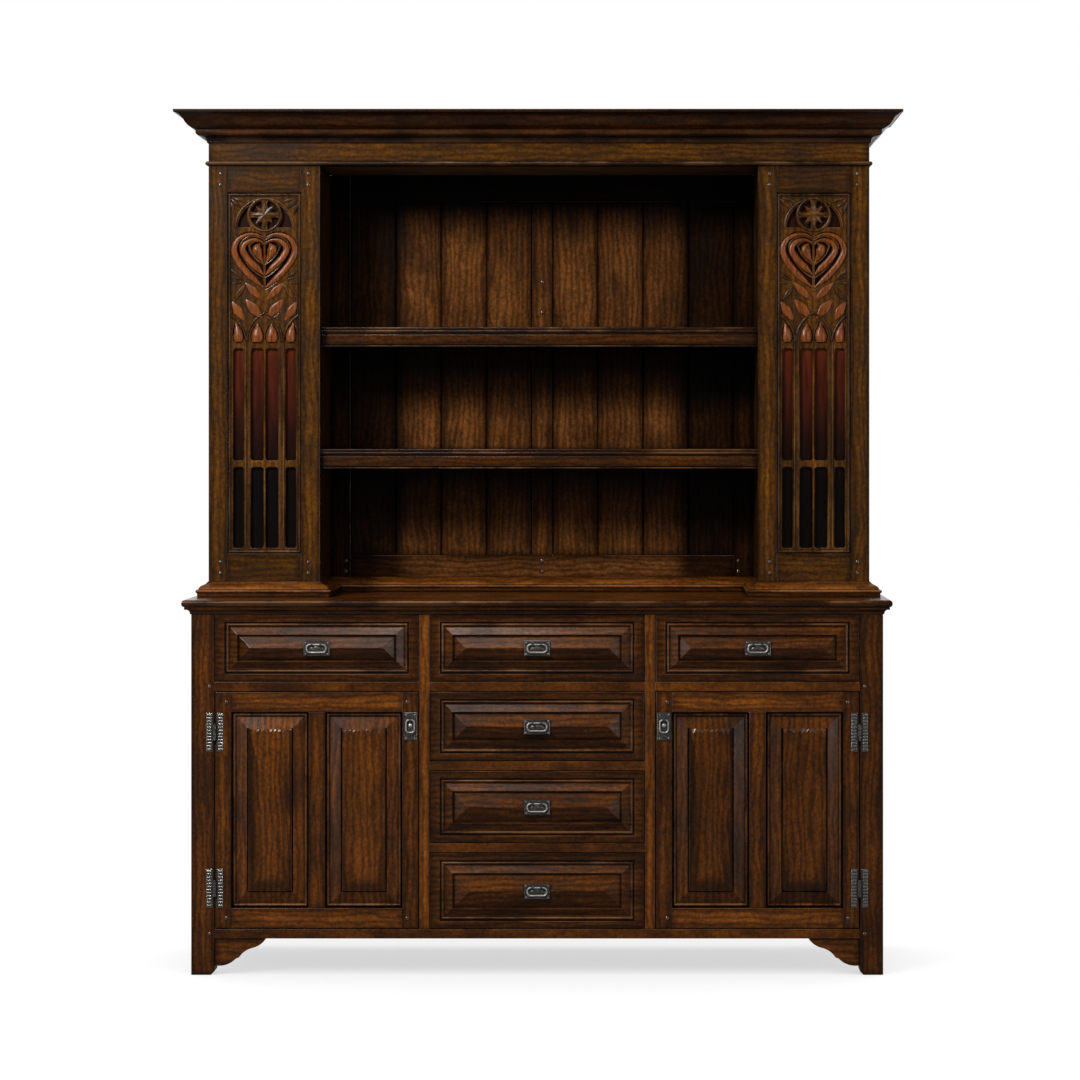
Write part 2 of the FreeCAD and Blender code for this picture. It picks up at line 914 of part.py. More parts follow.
def level_edges(shape, sides):
    """The names of a board's level edges that lie at one of the given sides."""
    names = []
    box = shape.BoundBox
    for number, edge in enumerate(shape.Edges, start=1):
        middle = edge.CenterOfMass
        at_side = {
            "front": math.isclose(middle.y, box.YMin),
            "left": math.isclose(middle.x, box.XMin),
            "right": math.isclose(middle.x, box.XMax),
        }
        level = math.isclose(edge.Vertexes[0].Z, edge.Vertexes[-1].Z)
        if level and any(at_side[side] for side in sides):
            names.append(f"Edge{number}")
    return names


def counter():
    """The counter board with a rounded nose on three sides, and the cove under it."""
    body = new_body("counter_board")
    across = half_base + size.counter_overhang
    plank = block(
        body,
        "counter_plank",
        (-across, across),
        (front - size.counter_overhang, back),
        (carcass_top, counter_top),
    )
    doc.recompute()
    nose = body.newObject("PartDesign::Fillet", "counter_nose")
    nose.Base = (plank, level_edges(plank.Shape, ("front", "left", "right")))
    bind(nose, "Radius", size.counter_nose_radius)
    node("counter_top", [body])

    reach = size.cove_projection
    points = shaped_points(reach, size.cove_height, COVE_SHARES)
    node("counter_moulding", three_sided_moulding("cove", points, half_base, front, back, top_rail, reach))


def three_sided_moulding(name, points, half_width, face, rear, low, projection):
    """A moulding along the front and both sides, mitred at the front corners."""
    depth = rear - face
    front_run = moulding_run(f"{name}_front", points, 2 * half_width, projection, OUTWARD, OUTWARD)
    left_run = moulding_run(f"{name}_left", points, depth, projection, OUTWARD, SQUARE)
    right_run = moulding_run(f"{name}_right", points, depth, projection, SQUARE, OUTWARD)
    put(turn(front_run, (0, 0, 1), 180), (half_width, face, low))
    put(turn(left_run, (0, 0, 1), 90), (-half_width, face, low))
    put(turn(right_run, (0, 0, 1), -90), (half_width, rear, low))
    return [front_run, left_run, right_run]


# Drawers

def drawer_front(name, width, height):
    """A drawer front centred on X over z = 0 with its border at y = 0.

    A sunk bed inside the border holds a bead, a rising bevel and a hipped field, with a
    level seat in the middle for the pull plate.
    """
    body = new_body(name)
    across = (-width / 2, width / 2)
    block(body, f"{name}_plank", across, (ZERO, size.drawer_front_thickness), (ZERO, height))
    bed_across = (across[0] + size.front_end_border, across[1] - size.front_end_border)
    bed_high = (size.front_border, height - size.front_border)
    sink_depth = (-size.overrun, size.front_sink)
    block(body, f"{name}_bed", bed_across, sink_depth, bed_high, "PartDesign::SubtractiveBox")
    floor = size.front_sink
    buried = floor + size.front_sink
    bead_start = size.front_quirk
    bead_end = bead_start + size.front_bead
    bevel_start = bead_end + size.front_quirk
    bevel_end = bevel_start + size.front_bevel
    ring_moulding(
        body,
        f"{name}_moulding",
        bed_across,
        bed_high,
        [
            (buried, bead_start, 0),
            (floor, bead_start, 0),
            (floor - size.front_bead_rise, (bead_start + bead_end) / 2, QUARTER_SHARE),
            (floor, bead_end, QUARTER_SHARE),
            (floor, bevel_start, 0),
            (floor - size.front_bevel_rise, bevel_end, 0),
            (buried, bevel_end, 0),
        ],
    )
    hip_inset = bevel_end + size.front_hip_gap
    hip_across = (bed_across[0] + hip_inset, bed_across[1] - hip_inset)
    hip_high = (bed_high[0] + hip_inset, bed_high[1] - hip_inset)
    run = (hip_high[1] - hip_high[0]) / 2
    ridge = (hip_across[0] + run, hip_across[1] - run)
    middle = height / 2
    bevelled_block(
        body, f"{name}_hip", hip_across, hip_high, ridge, (middle, middle), floor, size.front_hip_rise
    )
    block(
        body,
        f"{name}_seat",
        (-size.pull_plate_width / 2, size.pull_plate_width / 2),
        (floor - size.front_hip_rise, floor),
        (middle - size.pull_plate_height / 2, middle + size.pull_plate_height / 2),
    )
    return body


def drawer_box(name, width, height):
    """Two sides, a back and a bottom behind a drawer front, the bottom in grooves."""
    low = size.running_clearance
    top = height - size.drawer_headroom
    start = size.drawer_front_thickness
    rear = back_board_front - front - size.drawer_back_room
    half = width / 2
    inside = half - size.drawer_side
    bottom_low = low + size.drawer_bottom_lift
    bottom_high = (bottom_low, bottom_low + size.drawer_bottom)
    bottom_reach = inside + size.drawer_groove
    bottom = board(f"{name}_bottom", (-bottom_reach, bottom_reach), (start, rear), bottom_high)
    pieces = [bottom]
    for side, sign in SIDES:
        plank = board(f"{name}_{side}_plank", side_span(sign, inside, half), (start, rear), (low, top))
        pieces.append(cut(f"{name}_{side}", plank, [bottom]))
    rear_span = (rear - size.drawer_side, rear)
    pieces.append(board(f"{name}_back", (-inside, inside), rear_span, (bottom_high[1], top)))
    return together(name, pieces)


def wire_bend(name, radius, wire, at, quarters):
    """A quarter turn of wire in the XZ plane, from the top right corner of a loop onwards."""
    item = doc.addObject("Part::Torus", name)
    bind(item, "Radius1", radius)
    bind(item, "Radius2", wire / 2)
    item.Angle3 = 90
    upright = FreeCAD.Rotation(FreeCAD.Vector(1, 0, 0), 90)
    item.Placement.Rotation = FreeCAD.Rotation(FreeCAD.Vector(0, 1, 0), 90 * quarters) * upright
    return put(item, at)


def wire_loop(name, width, height, corner, wire):
    """A rounded loop of wire in the XZ plane, hung from its top bar on the X axis."""
    half = (width - wire) / 2
    drop = height - wire
    inner = half - corner
    straight = drop - 2 * corner
    across = (0, 1, 0)
    pieces = [
        round_bar(f"{name}_top", wire, 2 * inner, (-inner, ZERO, ZERO), across, 90),
        round_bar(f"{name}_foot", wire, 2 * inner, (-inner, ZERO, -drop), across, 90),
        round_bar(f"{name}_left", wire, straight, (-half, ZERO, corner - drop)),
        round_bar(f"{name}_right", wire, straight, (half, ZERO, corner - drop)),
    ]
    centres = ((inner, -corner), (inner, corner - drop), (-inner, corner - drop), (-inner, -corner))
    for quarters, (middle, high) in enumerate(centres):
        pieces.append(wire_bend(f"{name}_bend_{quarters}", corner, wire, (middle, ZERO, high), quarters))
    return fuse(f"{name}_wire", pieces)


def eared_plate(name, width, height, axis_drop, wire, ear_places):
    """A back plate centred on X that hangs down from z = 0, its front face at y = 0.

    Ears stand out from it and hold the top bar of a wire loop.
    """
    plate = board(f"{name}_plate", (-width / 2, width / 2), (ZERO, size.plate_thickness), (-height, ZERO))
    bore = wire + 2 * size.pivot_clearance
    outside = bore + 2 * size.ear_wall
    pieces = [plate]
    bores = []
    for number, place in enumerate(ear_places, start=1):
        low = place - size.pull_ear_width / 2
        at = (low, -size.pull_axis_rise, -axis_drop)
        pieces.append(round_bar(f"{name}_ear_{number}", outside, size.pull_ear_width, at, (0, 1, 0), 90))
        stem_high = (-axis_drop - outside / 2, -axis_drop + outside / 2)
        stem_depth = (-size.pull_axis_rise, size.plate_thickness)
        stem_across = (low, low + size.pull_ear_width)
        pieces.append(board(f"{name}_stem_{number}", stem_across, stem_depth, stem_high))
        bore_at = (low - size.overrun, -size.pull_axis_rise, -axis_drop)
        length = size.pull_ear_width + 2 * size.overrun
        bores.append(round_bar(f"{name}_bore_{number}", bore, length, bore_at, (0, 1, 0), 90))
    return cut(f"{name}_bored", fuse(f"{name}_blank", pieces), bores)


def drawers():
    """Six drawers: three under the counter and a stack of three between the doors."""
    side_bay = leg_inside - mullion_outside
    side_middle = mullion_outside + side_bay / 2
    gap = size.drawer_gap
    places = (
        ("top_left", -side_middle, side_bay, top_bottom, size.top_drawer_opening),
        ("top_centre", ZERO, size.centre_bay, top_bottom, size.top_drawer_opening),
        ("top_right", side_middle, side_bay, top_bottom, size.top_drawer_opening),
        ("centre_upper", ZERO, size.centre_bay, upper_bottom, size.upper_drawer_opening),
        ("centre_middle", ZERO, size.centre_bay, middle_bottom, size.middle_drawer_opening),
        ("centre_lower", ZERO, size.centre_bay, bottom_rail_top, size.lower_drawer_opening),
    )
    ear = size.pull_ear_spread / 2
    plate = eared_plate(
        "pull",
        size.pull_plate_width,
        size.pull_plate_height,
        size.pull_axis_drop,
        size.pull_wire,
        (-ear, ear),
    )
    corner_share = 0.45
    corner = (size.pull_bail_height - size.pull_wire) * corner_share
    bail = wire_loop("bail", size.pull_bail_width, size.pull_bail_height, corner, size.pull_wire)
    for name, across, width, low, opening in places:
        front_width = width - 2 * gap
        front_height = opening - 2 * gap
        face = drawer_front(f"{name}_front", front_width, front_height)
        node(f"{name}_drawer_front", [put(face, (across, front, low + gap))])
        box = drawer_box(f"{name}_box", front_width, opening)
        node(f"{name}_drawer_box", [put(box, (across, front, low))])
        plate_front = front + size.front_sink - size.front_hip_rise - size.plate_thickness
        plate_top = low + opening / 2 + size.pull_plate_height / 2
        node(f"{name}_pull_plate", [copy_at(f"{name}_plate", plate, (across, plate_front, plate_top))])
        axis = (across, plate_front - size.pull_axis_rise, plate_top - size.pull_axis_drop)
        node(f"{name}_pull_bail", [copy_at(f"{name}_bail", bail, axis)])


# Doors with their rings and hinges

def hinge_line(sign):
    return sign * (leg_inside - size.door_gap / 2)


def hinge_levels():
    low = bottom_rail_top + size.hinge_end_distance
    top = mid_rail - size.hinge_end_distance
    return (("lower", low), ("upper", top))


def knuckle_span(middle, number):
    """The height of one of a barrel's three knuckles, counted from below."""
    low = middle - size.hinge_barrel_height / 2
    length = size.hinge_barrel_height / 3
    room = size.knuckle_clearance / 2
    return (low + length * number + room, low + length * (number + 1) - room)


def hinge_leaf(name, sign, way, middle, knuckles):
    """One leaf of an H hinge, with its knuckles round the pin.

    way is 1 for the leaf on the leg and -1 for the leaf on the door.
    """
    pin_line = leg_inside - size.door_gap / 2
    near = size.hinge_leaf_spread / 2
    far = near + size.hinge_leaf_width

    def across(low, top):
        ends = (pin_line + low, pin_line + top) if way > 0 else (pin_line - top, pin_line - low)
        return side_span(sign, *ends)

    high = (middle - size.hinge_leaf_height / 2, middle + size.hinge_leaf_height / 2)
    depth = (front - size.hinge_leaf_thickness, front)
    pieces = [board(f"{name}_leaf", across(near, far), depth, high)]
    axis_depth = front - size.hinge_standoff - size.hinge_barrel / 2
    centre = sign * pin_line
    for number in knuckles:
        low, top = knuckle_span(middle, number)
        at = (centre, axis_depth, low)
        pieces.append(round_bar(f"{name}_knuckle_{number}", size.hinge_barrel, top - low, at))
        strap_depth = (front - size.hinge_leaf_thickness, front - size.hinge_standoff)
        pieces.append(board(f"{name}_strap_{number}", across(ZERO, far), strap_depth, (low, top)))
    bore_low = high[0]
    bore = size.hinge_pin + 2 * size.pivot_clearance
    hole = round_bar(f"{name}_bore", bore, size.hinge_leaf_height, (centre, axis_depth, bore_low))
    return cut(f"{name}_bored", fuse(f"{name}_blank", pieces), [hole])


def frame_hinges():
    """The hinge leaves on the legs, each with the pin that stays in its knuckles."""
    pieces = []
    axis_depth = front - size.hinge_standoff - size.hinge_barrel / 2
    for side, sign in SIDES:
        for level, middle in hinge_levels():
            name = f"{level}_hinge_{side}"
            pieces.append(hinge_leaf(f"{name}_frame", sign, 1, middle, (0, 2)))
            length = size.hinge_barrel_height + 2 * size.hinge_pin_overhang
            low = middle - length / 2
            at = (hinge_line(sign), axis_depth, low)
            pieces.append(round_bar(f"{name}_pin", size.hinge_pin, length, at))
    node("hinge_frame_leaves", pieces)


def doors():
    low = bottom_rail_top + size.door_gap
    top = mid_rail - size.door_gap
    inner = mullion_outside + size.door_gap
    outer = leg_inside - size.door_gap
    opening = (outer - inner - 2 * size.door_stile - size.door_muntin) / 2
    panel_bottom = low + size.door_rail
    height = top - low - 2 * size.door_rail
    panel = raised_panel("door_panel", opening, height)
    depth = (front, front + size.door_thickness)
    first = inner + size.door_stile + opening / 2
    second = outer - size.door_stile - opening / 2
    plate = eared_plate(
        "ring", size.ring_plate_width, size.ring_plate_height, size.ring_axis_drop, size.ring_wire, (ZERO,)
    )
    ring = wire_loop("drop_ring", size.ring_width, size.ring_height, size.ring_corner, size.ring_wire)
    for side, sign in SIDES:
        name = f"{side}_door"
        panels = []
        grooves = []
        for number, middle in enumerate((first, second), start=1):
            at = (sign * middle, front, panel_bottom)
            panels.append(copy_at(f"{name}_panel_{number}", panel, at))
            grooves.append(panel_groove(f"{name}_groove_{number}", opening, height, at))
        node(f"{name}_panels", panels)

        between = side_span(sign, inner + size.door_stile, outer - size.door_stile)
        muntin_low = inner + size.door_stile + opening
        muntin = side_span(sign, muntin_low, muntin_low + size.door_muntin)
        rails = [
            board(f"{name}_bottom_rail", between, depth, (low, panel_bottom)),
            board(f"{name}_top_rail", between, depth, (top - size.door_rail, top)),
            board(f"{name}_muntin", muntin, depth, (panel_bottom, panel_bottom + height)),
        ]
        pieces = [cut(f"{rail.Name}_grooved", rail, grooves) for rail in rails]
        stiles = (
            ("inner", inner, inner + size.door_stile - size.peg_inset),
            ("outer", outer - size.door_stile, outer - size.door_stile + size.peg_inset),
        )
        for place, near, peg_line in stiles:
            across = side_span(sign, near, near + size.door_stile)
            stile = board(f"{name}_{place}_stile", across, depth, (low, top))
            grooved = cut(f"{stile.Name}_grooved", stile, grooves)
            levels = (low + size.door_rail / 2, top - size.door_rail / 2)
            places = [(sign * peg_line, level) for level in levels]
            bored, pegs = pegged(f"{name}_{place}_stile", grooved, places, front)
            pieces.append(bored)
            pieces.extend(pegs)
        node(f"{name}_frame", pieces)

        leaves = []
        for level, middle in hinge_levels():
            leaves.append(hinge_leaf(f"{level}_hinge_{side}_door", sign, -1, middle, (1,)))
        node(f"{name}_hinge_leaves", leaves)

        plate_front = front - size.plate_thickness
        plate_top = mid_rail - size.ring_plate_top
        stile_middle = sign * (inner + size.door_stile / 2)
        node(f"{name}_ring_plate", [copy_at(f"{name}_plate", plate, (stile_middle, plate_front, plate_top))])
        axis = (stile_middle, plate_front - size.pull_axis_rise, plate_top - size.ring_axis_drop)
        node(f"{name}_ring", [copy_at(f"{name}_drop_ring", ring, axis)])


# Upper part: pillars, walls, shelves and back

def pillar_frames():
    """A frame of two stiles and two rails on the front of each pillar, pegged at its joints."""
    depth = (hutch_front, pillar_frame_back)
    pieces = []
    for side, sign in SIDES:
        name = f"{side}_pillar"
        inner = pillar_inside + size.pillar_stile
        outer = half_hutch - size.pillar_stile
        between = side_span(sign, inner, outer)
        pieces.append(board(f"{name}_bottom_rail", between, depth, (counter_top, panel_low)))
        pieces.append(board(f"{name}_top_rail", between, depth, (panel_top, pillar_top)))
        bottom_joint = (counter_top + size.plinth_height + panel_low) / 2
        top_joint = (panel_top + pillar_top) / 2
        reach = size.peg_spacing / 2
        levels = (bottom_joint - reach, bottom_joint + reach, top_joint - reach, top_joint + reach)
        stiles = (
            ("inner", pillar_inside, inner - size.pillar_peg_inset),
            ("outer", outer, outer + size.pillar_peg_inset),
        )
        for place, near, peg_line in stiles:
            across = side_span(sign, near, near + size.pillar_stile)
            stile = board(f"{name}_{place}_stile", across, depth, (counter_top, pillar_top))
            places = [(sign * peg_line, level) for level in levels]
            bored, pegs = pegged(f"{name}_{place}_stile", stile, places, hutch_front)
            pieces.append(bored)
            joint_pegs.extend(pegs)
    node("pillar_frames", pieces)


def shelf_places():
    return (
        ("lower", counter_top + size.lower_shelf_height, size.lower_shelf_setback),
        ("upper", counter_top + size.upper_shelf_height, size.upper_shelf_setback),
    )


def hutch_shelves():
    """Two boards housed in the pillar walls, each with a deep moulded lip."""
    pieces = []
    housings = []
    reach = pillar_inside + size.shelf_housing
    for name, top, setback in shelf_places():
        lip_back = hutch_front + setback + size.shelf_lip_thickness
        high = (top - size.shelf_thickness, top)
        plank = board(f"{name}_shelf_board", (-reach, reach), (lip_back, back_frame_front), high)
        housings.append(plank)
        pieces.append(plank)
        lip = moulding_run(
            f"{name}_shelf_lip",
            shaped_points(size.shelf_lip_thickness, size.shelf_lip_height, SHELF_LIP_SHARES),
            2 * pillar_inside,
            size.shelf_lip_thickness,
            SQUARE,
            SQUARE,
        )
        lip_at = (pillar_inside, lip_back, top - size.shelf_lip_height)
        pieces.append(put(turn(lip, (0, 0, 1), 180), lip_at))
    node("hutch_shelves", pieces)
    return housings


def pillar_walls(housings):
    """The outer and inner walls of the pillars, the inner ones housed for the shelves."""
    pieces = []
    for side, sign in SIDES:
        outer = side_span(sign, outer_wall, half_hutch)
        pieces.append(
            board(f"outer_wall_{side}", outer, (pillar_frame_back, back), (counter_top, carcase_rim))
        )
        inner = side_span(sign, pillar_inside, wall_inside)
        wall = board(
            f"inner_wall_{side}", inner, (pillar_frame_back, back_frame_back), (counter_top, pillar_top)
        )
        pieces.append(cut(f"inner_wall_{side}_housed", wall, housings))
    node("pillar_walls", pieces)


def hutch_back():
    """A frame with a middle muntin, tongued boards in it, and plain boards behind the pillars."""
    depth = (back_frame_front, back_frame_back)
    inner = pillar_inside - size.back_stile
    half_muntin = size.back_muntin / 2
    rail_top = counter_top + size.back_bottom_rail
    top_low = pillar_top - size.back_top_rail
    visible_middle = (counter_top + size.plinth_height + rail_top) / 2
    reach = size.peg_spacing / 2
    rail_levels = [visible_middle - reach, visible_middle + reach]
    pieces = [
        board("back_bottom_rail", (-inner, inner), depth, (counter_top, rail_top)),
        board("back_top_rail", (-inner, inner), depth, (top_low, carcase_rim)),
    ]
    high_pegs = counter_top + size.back_peg_height
    muntin = board("back_muntin", (-half_muntin, half_muntin), depth, (rail_top, top_low))
    places = [(ZERO, high_pegs), (ZERO, high_pegs + size.back_peg_spacing)]
    bored, pegs = pegged("back_muntin", muntin, places, back_frame_front)
    pieces.append(bored)
    joint_pegs.extend(pegs)
    rail_places = [(ZERO, level) for level in rail_levels]
    pieces[0], pegs = pegged("back_bottom_rail", pieces[0], rail_places, back_frame_front)
    joint_pegs.extend(pegs)
    boards = []
    width = (inner - half_muntin) / PILLAR_BOARD_COUNT
    board_front = back_frame_front + size.back_board_setback
    board_depth = (board_front, board_front + size.pillar_back_thickness)
    for side, sign in SIDES:
        across = side_span(sign, inner, pillar_inside)
        stile = board(f"back_stile_{side}", across, depth, (counter_top, carcase_rim))
        places = [(sign * (inner + size.peg_inset), level) for level in rail_levels]
        bored, pegs = pegged(f"back_stile_{side}", stile, places, back_frame_front)
        pieces.append(bored)
        joint_pegs.extend(pegs)
        for number in range(PILLAR_BOARD_COUNT):
            low = half_muntin + width * number
            span = side_span(sign, low, low + width)
            boards.append(board(f"back_board_{side}_{number + 1}", span, board_depth, (rail_top, top_low)))
        rear = (back_frame_back - size.pillar_back_thickness, back_frame_back)
        span = side_span(sign, wall_inside, outer_wall)
        boards.append(board(f"pillar_back_{side}", span, rear, (counter_top, carcase_rim)))
    node("back_frame", pieces)
    node("back_boards", boards)


def hutch_top():
    """The ceiling over the shelves and the dust board inside the cornice."""
    ceiling_high = (pillar_top, pillar_top + size.ceiling_thickness)
    dust_high = (carcase_rim, carcase_rim + size.dust_board_thickness)
    node(
        "hutch_top",
        [
            board("ceiling", (-outer_wall, outer_wall), (pillar_frame_back, back_frame_front), ceiling_high),
            board("dust_board", (-half_hutch, half_hutch), (hutch_front, back), dust_high),
        ],
    )


# Mouldings of the upper part

def plinths():
    """The foot moulding round both pillars and along the foot of the back."""
    reach = size.plinth_projection
    points = shaped_points(reach, size.plinth_height, PLINTH_SHARES)
    depth = back - hutch_front
    inside_depth = back_frame_front - hutch_front
    upright = (0, 0, 1)

    def run(name, length, ends, degrees, across, along):
        piece = moulding_run(f"plinth_{name}", points, length, reach, *ends)
        return put(turn(piece, upright, degrees), (across, along, counter_top))

    both = (OUTWARD, OUTWARD)
    node(
        "hutch_base_mouldings",
        [
            run("left_front", size.pillar_width, both, 180, -pillar_inside, hutch_front),
            run("right_front", size.pillar_width, both, 180, half_hutch, hutch_front),
            run("left_outer", depth, (OUTWARD, SQUARE), 90, -half_hutch, hutch_front),
            run("right_outer", depth, (SQUARE, OUTWARD), -90, half_hutch, back),
            run("left_inner", inside_depth, (INWARD, OUTWARD), -90, -pillar_inside, back_frame_front),
            run("right_inner", inside_depth, (OUTWARD, INWARD), 90, pillar_inside, hutch_front),
            run("back", 2 * pillar_inside, (INWARD, INWARD), 180, pillar_inside, back_frame_front),
        ],
    )


def frieze():
    """The plain band over the pillars, with a bead along its foot."""
    depth = (hutch_front, pillar_frame_back)
    pieces = [board("frieze_board", (-half_hutch, half_hutch), depth, (pillar_top, carcase_rim))]
    reach = size.frieze_bead_projection
    points = shaped_points(reach, size.frieze_bead_height, FRIEZE_BEAD_SHARES)
    pieces += three_sided_moulding("frieze_bead", points, half_hutch, hutch_front, back, pillar_top, reach)
    node("frieze", pieces)


def cornice():
    reach = size.cornice_projection
    points = shaped_points(reach, size.cornice_height, CORNICE_SHARES)
    runs = three_sided_moulding("cornice", points, half_hutch, hutch_front, back, cornice_low, reach)
    node("cornice", runs)


# Tracery: a pierced panel in each pillar, with a plain panel behind it

# Left and right of the inner and outer lights, as shares of half the panel
LIGHT_SHARES = ((0.025, 0.375), (0.566, 0.856))
# Two reeds on the bar between the lights
REED_SHARES = (0.422, 0.519)
# Corner of a light, of a transom
CORNER_SHARE = 0.36
# Where the arch of a pointed head springs, and its tip between the sides of the inner and outer light
SHOULDER_SHARE = 0.34
TIP_SHARES = (0.45, 0.75)
# How far the spray of leaves stands below the foot of the heart
SPRAY_LIFT_SHARE = 0.73
# Both tips of each leaf and the swell of its sides
SPRAY_SHARES = (
    ((0.10, 0.05), (0.50, 0.50), 0.26, 0.2),
    ((0.58, 0.02), (0.86, 0.46), 0.2, 0.15),
    ((0.10, 0.58), (0.52, 0.95), 0.15, 0.12),
)
HEART_STEM_SHARE = 0.035
# Width and height of the rib between two lobes
HEART_RIB_SHARES = (0.055, 0.035)
# Width, foot, shoulder and notch of each lobe of the heart
HEART_LOBE_SHARES = (
    (0.91, 0.06, 0.70, 0.925),
    (0.655, 0.26, 0.73, 0.85),
    (0.40, 0.48, 0.76, 0.775),
)
# The crown keeps its shape: its height and all in it are shares of half the panel
CROWN_SHARE = 0.9
# Points of the gap between arch and rosette, down from the top of the crown
CRESCENT_SHARES = ((0.363, 0.782, 0.167), (0.737, 0.782, 0), (0.417, 0.205, -0.116))
ARCH_SHARE = 0.79
ROSETTE_SHARE = 0.44
# Both ends of a petal between two points of the rosette's star, and the swell of its sides
PETAL_SHARES = (0.384, 0.096)
PETAL_SWELL_SHARES = (0.14, 0.4)


def light_points(left, right, low, top, corner):
    """A tall opening with rounded corners."""
    return [
        arc_to(left + corner, low, -QUARTER_SHARE),
        line_to(right - corner, low),
        arc_to(right, low + corner, -QUARTER_SHARE),
        line_to(right, top - corner),
        arc_to(right - corner, top, -QUARTER_SHARE),
        line_to(left + corner, top),
        arc_to(left, top - corner, -QUARTER_SHARE),
        line_to(left, low + corner),
    ]


def head_points(left, right, low, top, corner, tip_share):
    """A short opening with a pointed head."""
    shoulder = low + (top - low) * SHOULDER_SHARE
    return [
        arc_to(left + corner, low, -QUARTER_SHARE),
        line_to(right - corner, low),
        arc_to(right, low + corner, -QUARTER_SHARE),
        line_to(right, shoulder),
        arc_to(left + (right - left) * tip_share, top, -SHALLOW_SHARE),
        arc_to(left, shoulder, -SHALLOW_SHARE),
        line_to(left, low + corner),
    ]


def lens_points(start, finish, first_bulge, second_bulge):
    """A leaf between two tips."""
    return [arc_to(*start, second_bulge), arc_to(*finish, first_bulge)]


def mirrored(points, sign):
    return [(sign * across, high, sign * bulge) for across, high, bulge in points]


def tracery_levels(half, height):
    """The heights at which the lower lights end, the heads, spray and heart begin, and the crown ends."""
    crown_top = height - size.tracery_margin
    heart_low = crown_top - half * CROWN_SHARE - size.heart_height
    spray_low = heart_low - size.spray_height * SPRAY_LIFT_SHARE
    heads_low = spray_low - size.tracery_rib - size.head_height
    lower_top = size.tracery_margin + size.lower_light_height
    return lower_top, heads_low, spray_low, heart_low, crown_top


def tracery_openings(half, height):
    """The outlines that pierce one half of the panel, from the foot to the crown."""
    lower_top, heads_low, spray_low, heart_low, crown_top = tracery_levels(half, height)
    transom = size.transom_height
    corner = transom * CORNER_SHARE
    openings = []
    for (left_share, right_share), tip_share in zip(LIGHT_SHARES, TIP_SHARES):
        left = half * left_share
        right = half * right_share
        openings.append(light_points(left, right, size.tracery_margin, lower_top, corner))
        openings.append(light_points(left, right, lower_top + transom, heads_low - transom, corner))
        openings.append(head_points(left, right, heads_low, heads_low + size.head_height, corner, tip_share))
    for start_shares, finish_shares, *bulges in SPRAY_SHARES:
        tips = [
            (half * across, spray_low + size.spray_height * high)
            for across, high in (start_shares, finish_shares)
        ]
        openings.append(lens_points(*tips, *bulges))
    openings.extend(heart_openings(half, heart_low))
    crescent = [
        (half * across, crown_top - half * drop, bulge) for across, drop, bulge in CRESCENT_SHARES
    ]
    openings.append(crescent)
    return openings


def heart_openings(half, low):
    """Nested lobes of one half of the heart, each springing from the stem."""
    stem = half * HEART_STEM_SHARE
    rib_across = half * HEART_RIB_SHARES[0]
    rib_high = size.heart_height * HEART_RIB_SHARES[1]
    openings = []

    def sweep(lobe, grow):
        width, foot, shoulder, notch = lobe
        lower = (stem, low + size.heart_height * foot - grow * rib_high)
        side = (half * width + grow * rib_across, low + size.heart_height * shoulder)
        upper = (stem, low + size.heart_height * notch + grow * rib_high)
        return lower, side, upper

    for number, lobe in enumerate(HEART_LOBE_SHARES):
        lower, side, upper = sweep(lobe, 0)
        points = [line_to(*lower), arc_to(*side, -SHALLOW_SHARE), arc_to(*upper, -LOBE_SHARE)]
        if number + 1 < len(HEART_LOBE_SHARES):
            lower, side, upper = sweep(HEART_LOBE_SHARES[number + 1], 1)
            points += [line_to(*upper), arc_to(*side, LOBE_SHARE), arc_to(*lower, SHALLOW_SHARE)]
        openings.append(points)
    return openings


def rosette_openings(half, middle):
    """Four petals of the rosette, which leave a star with hollow sides between them."""
    far, near = [half * share for share in PETAL_SHARES]
    openings = []
    for way, lift in ((1, 1), (-1, 1), (-1, -1), (1, -1)):
        turned = way * lift
        start = (way * far, middle + lift * near)
        finish = (way * near, middle + lift * far)
        ring_swell, star_swell = [turned * share for share in PETAL_SWELL_SHARES]
        openings.append(lens_points(start, finish, -ring_swell, -star_swell))
    return openings


def raised_ring(body, name, radius, high, degrees):
    """A round rib on the front of the panel, whole or as an arch."""
    item = body.newObject("PartDesign::AdditiveTorus", name)
    bind(item, "Radius1", radius)
    bind(item, "Radius2", size.tracery_ring / 2)
    item.Angle3 = degrees
    turn(item, (1, 0, 0), 90)
    put(item, (ZERO, ZERO, high))


def raised_reed(body, name, across, low, top):
    item = body.newObject("PartDesign::AdditiveCylinder", name)
    bind(item, "Radius", size.tracery_reed / 2)
    bind(item, "Height", top - low)
    put(item, (across, ZERO, low))


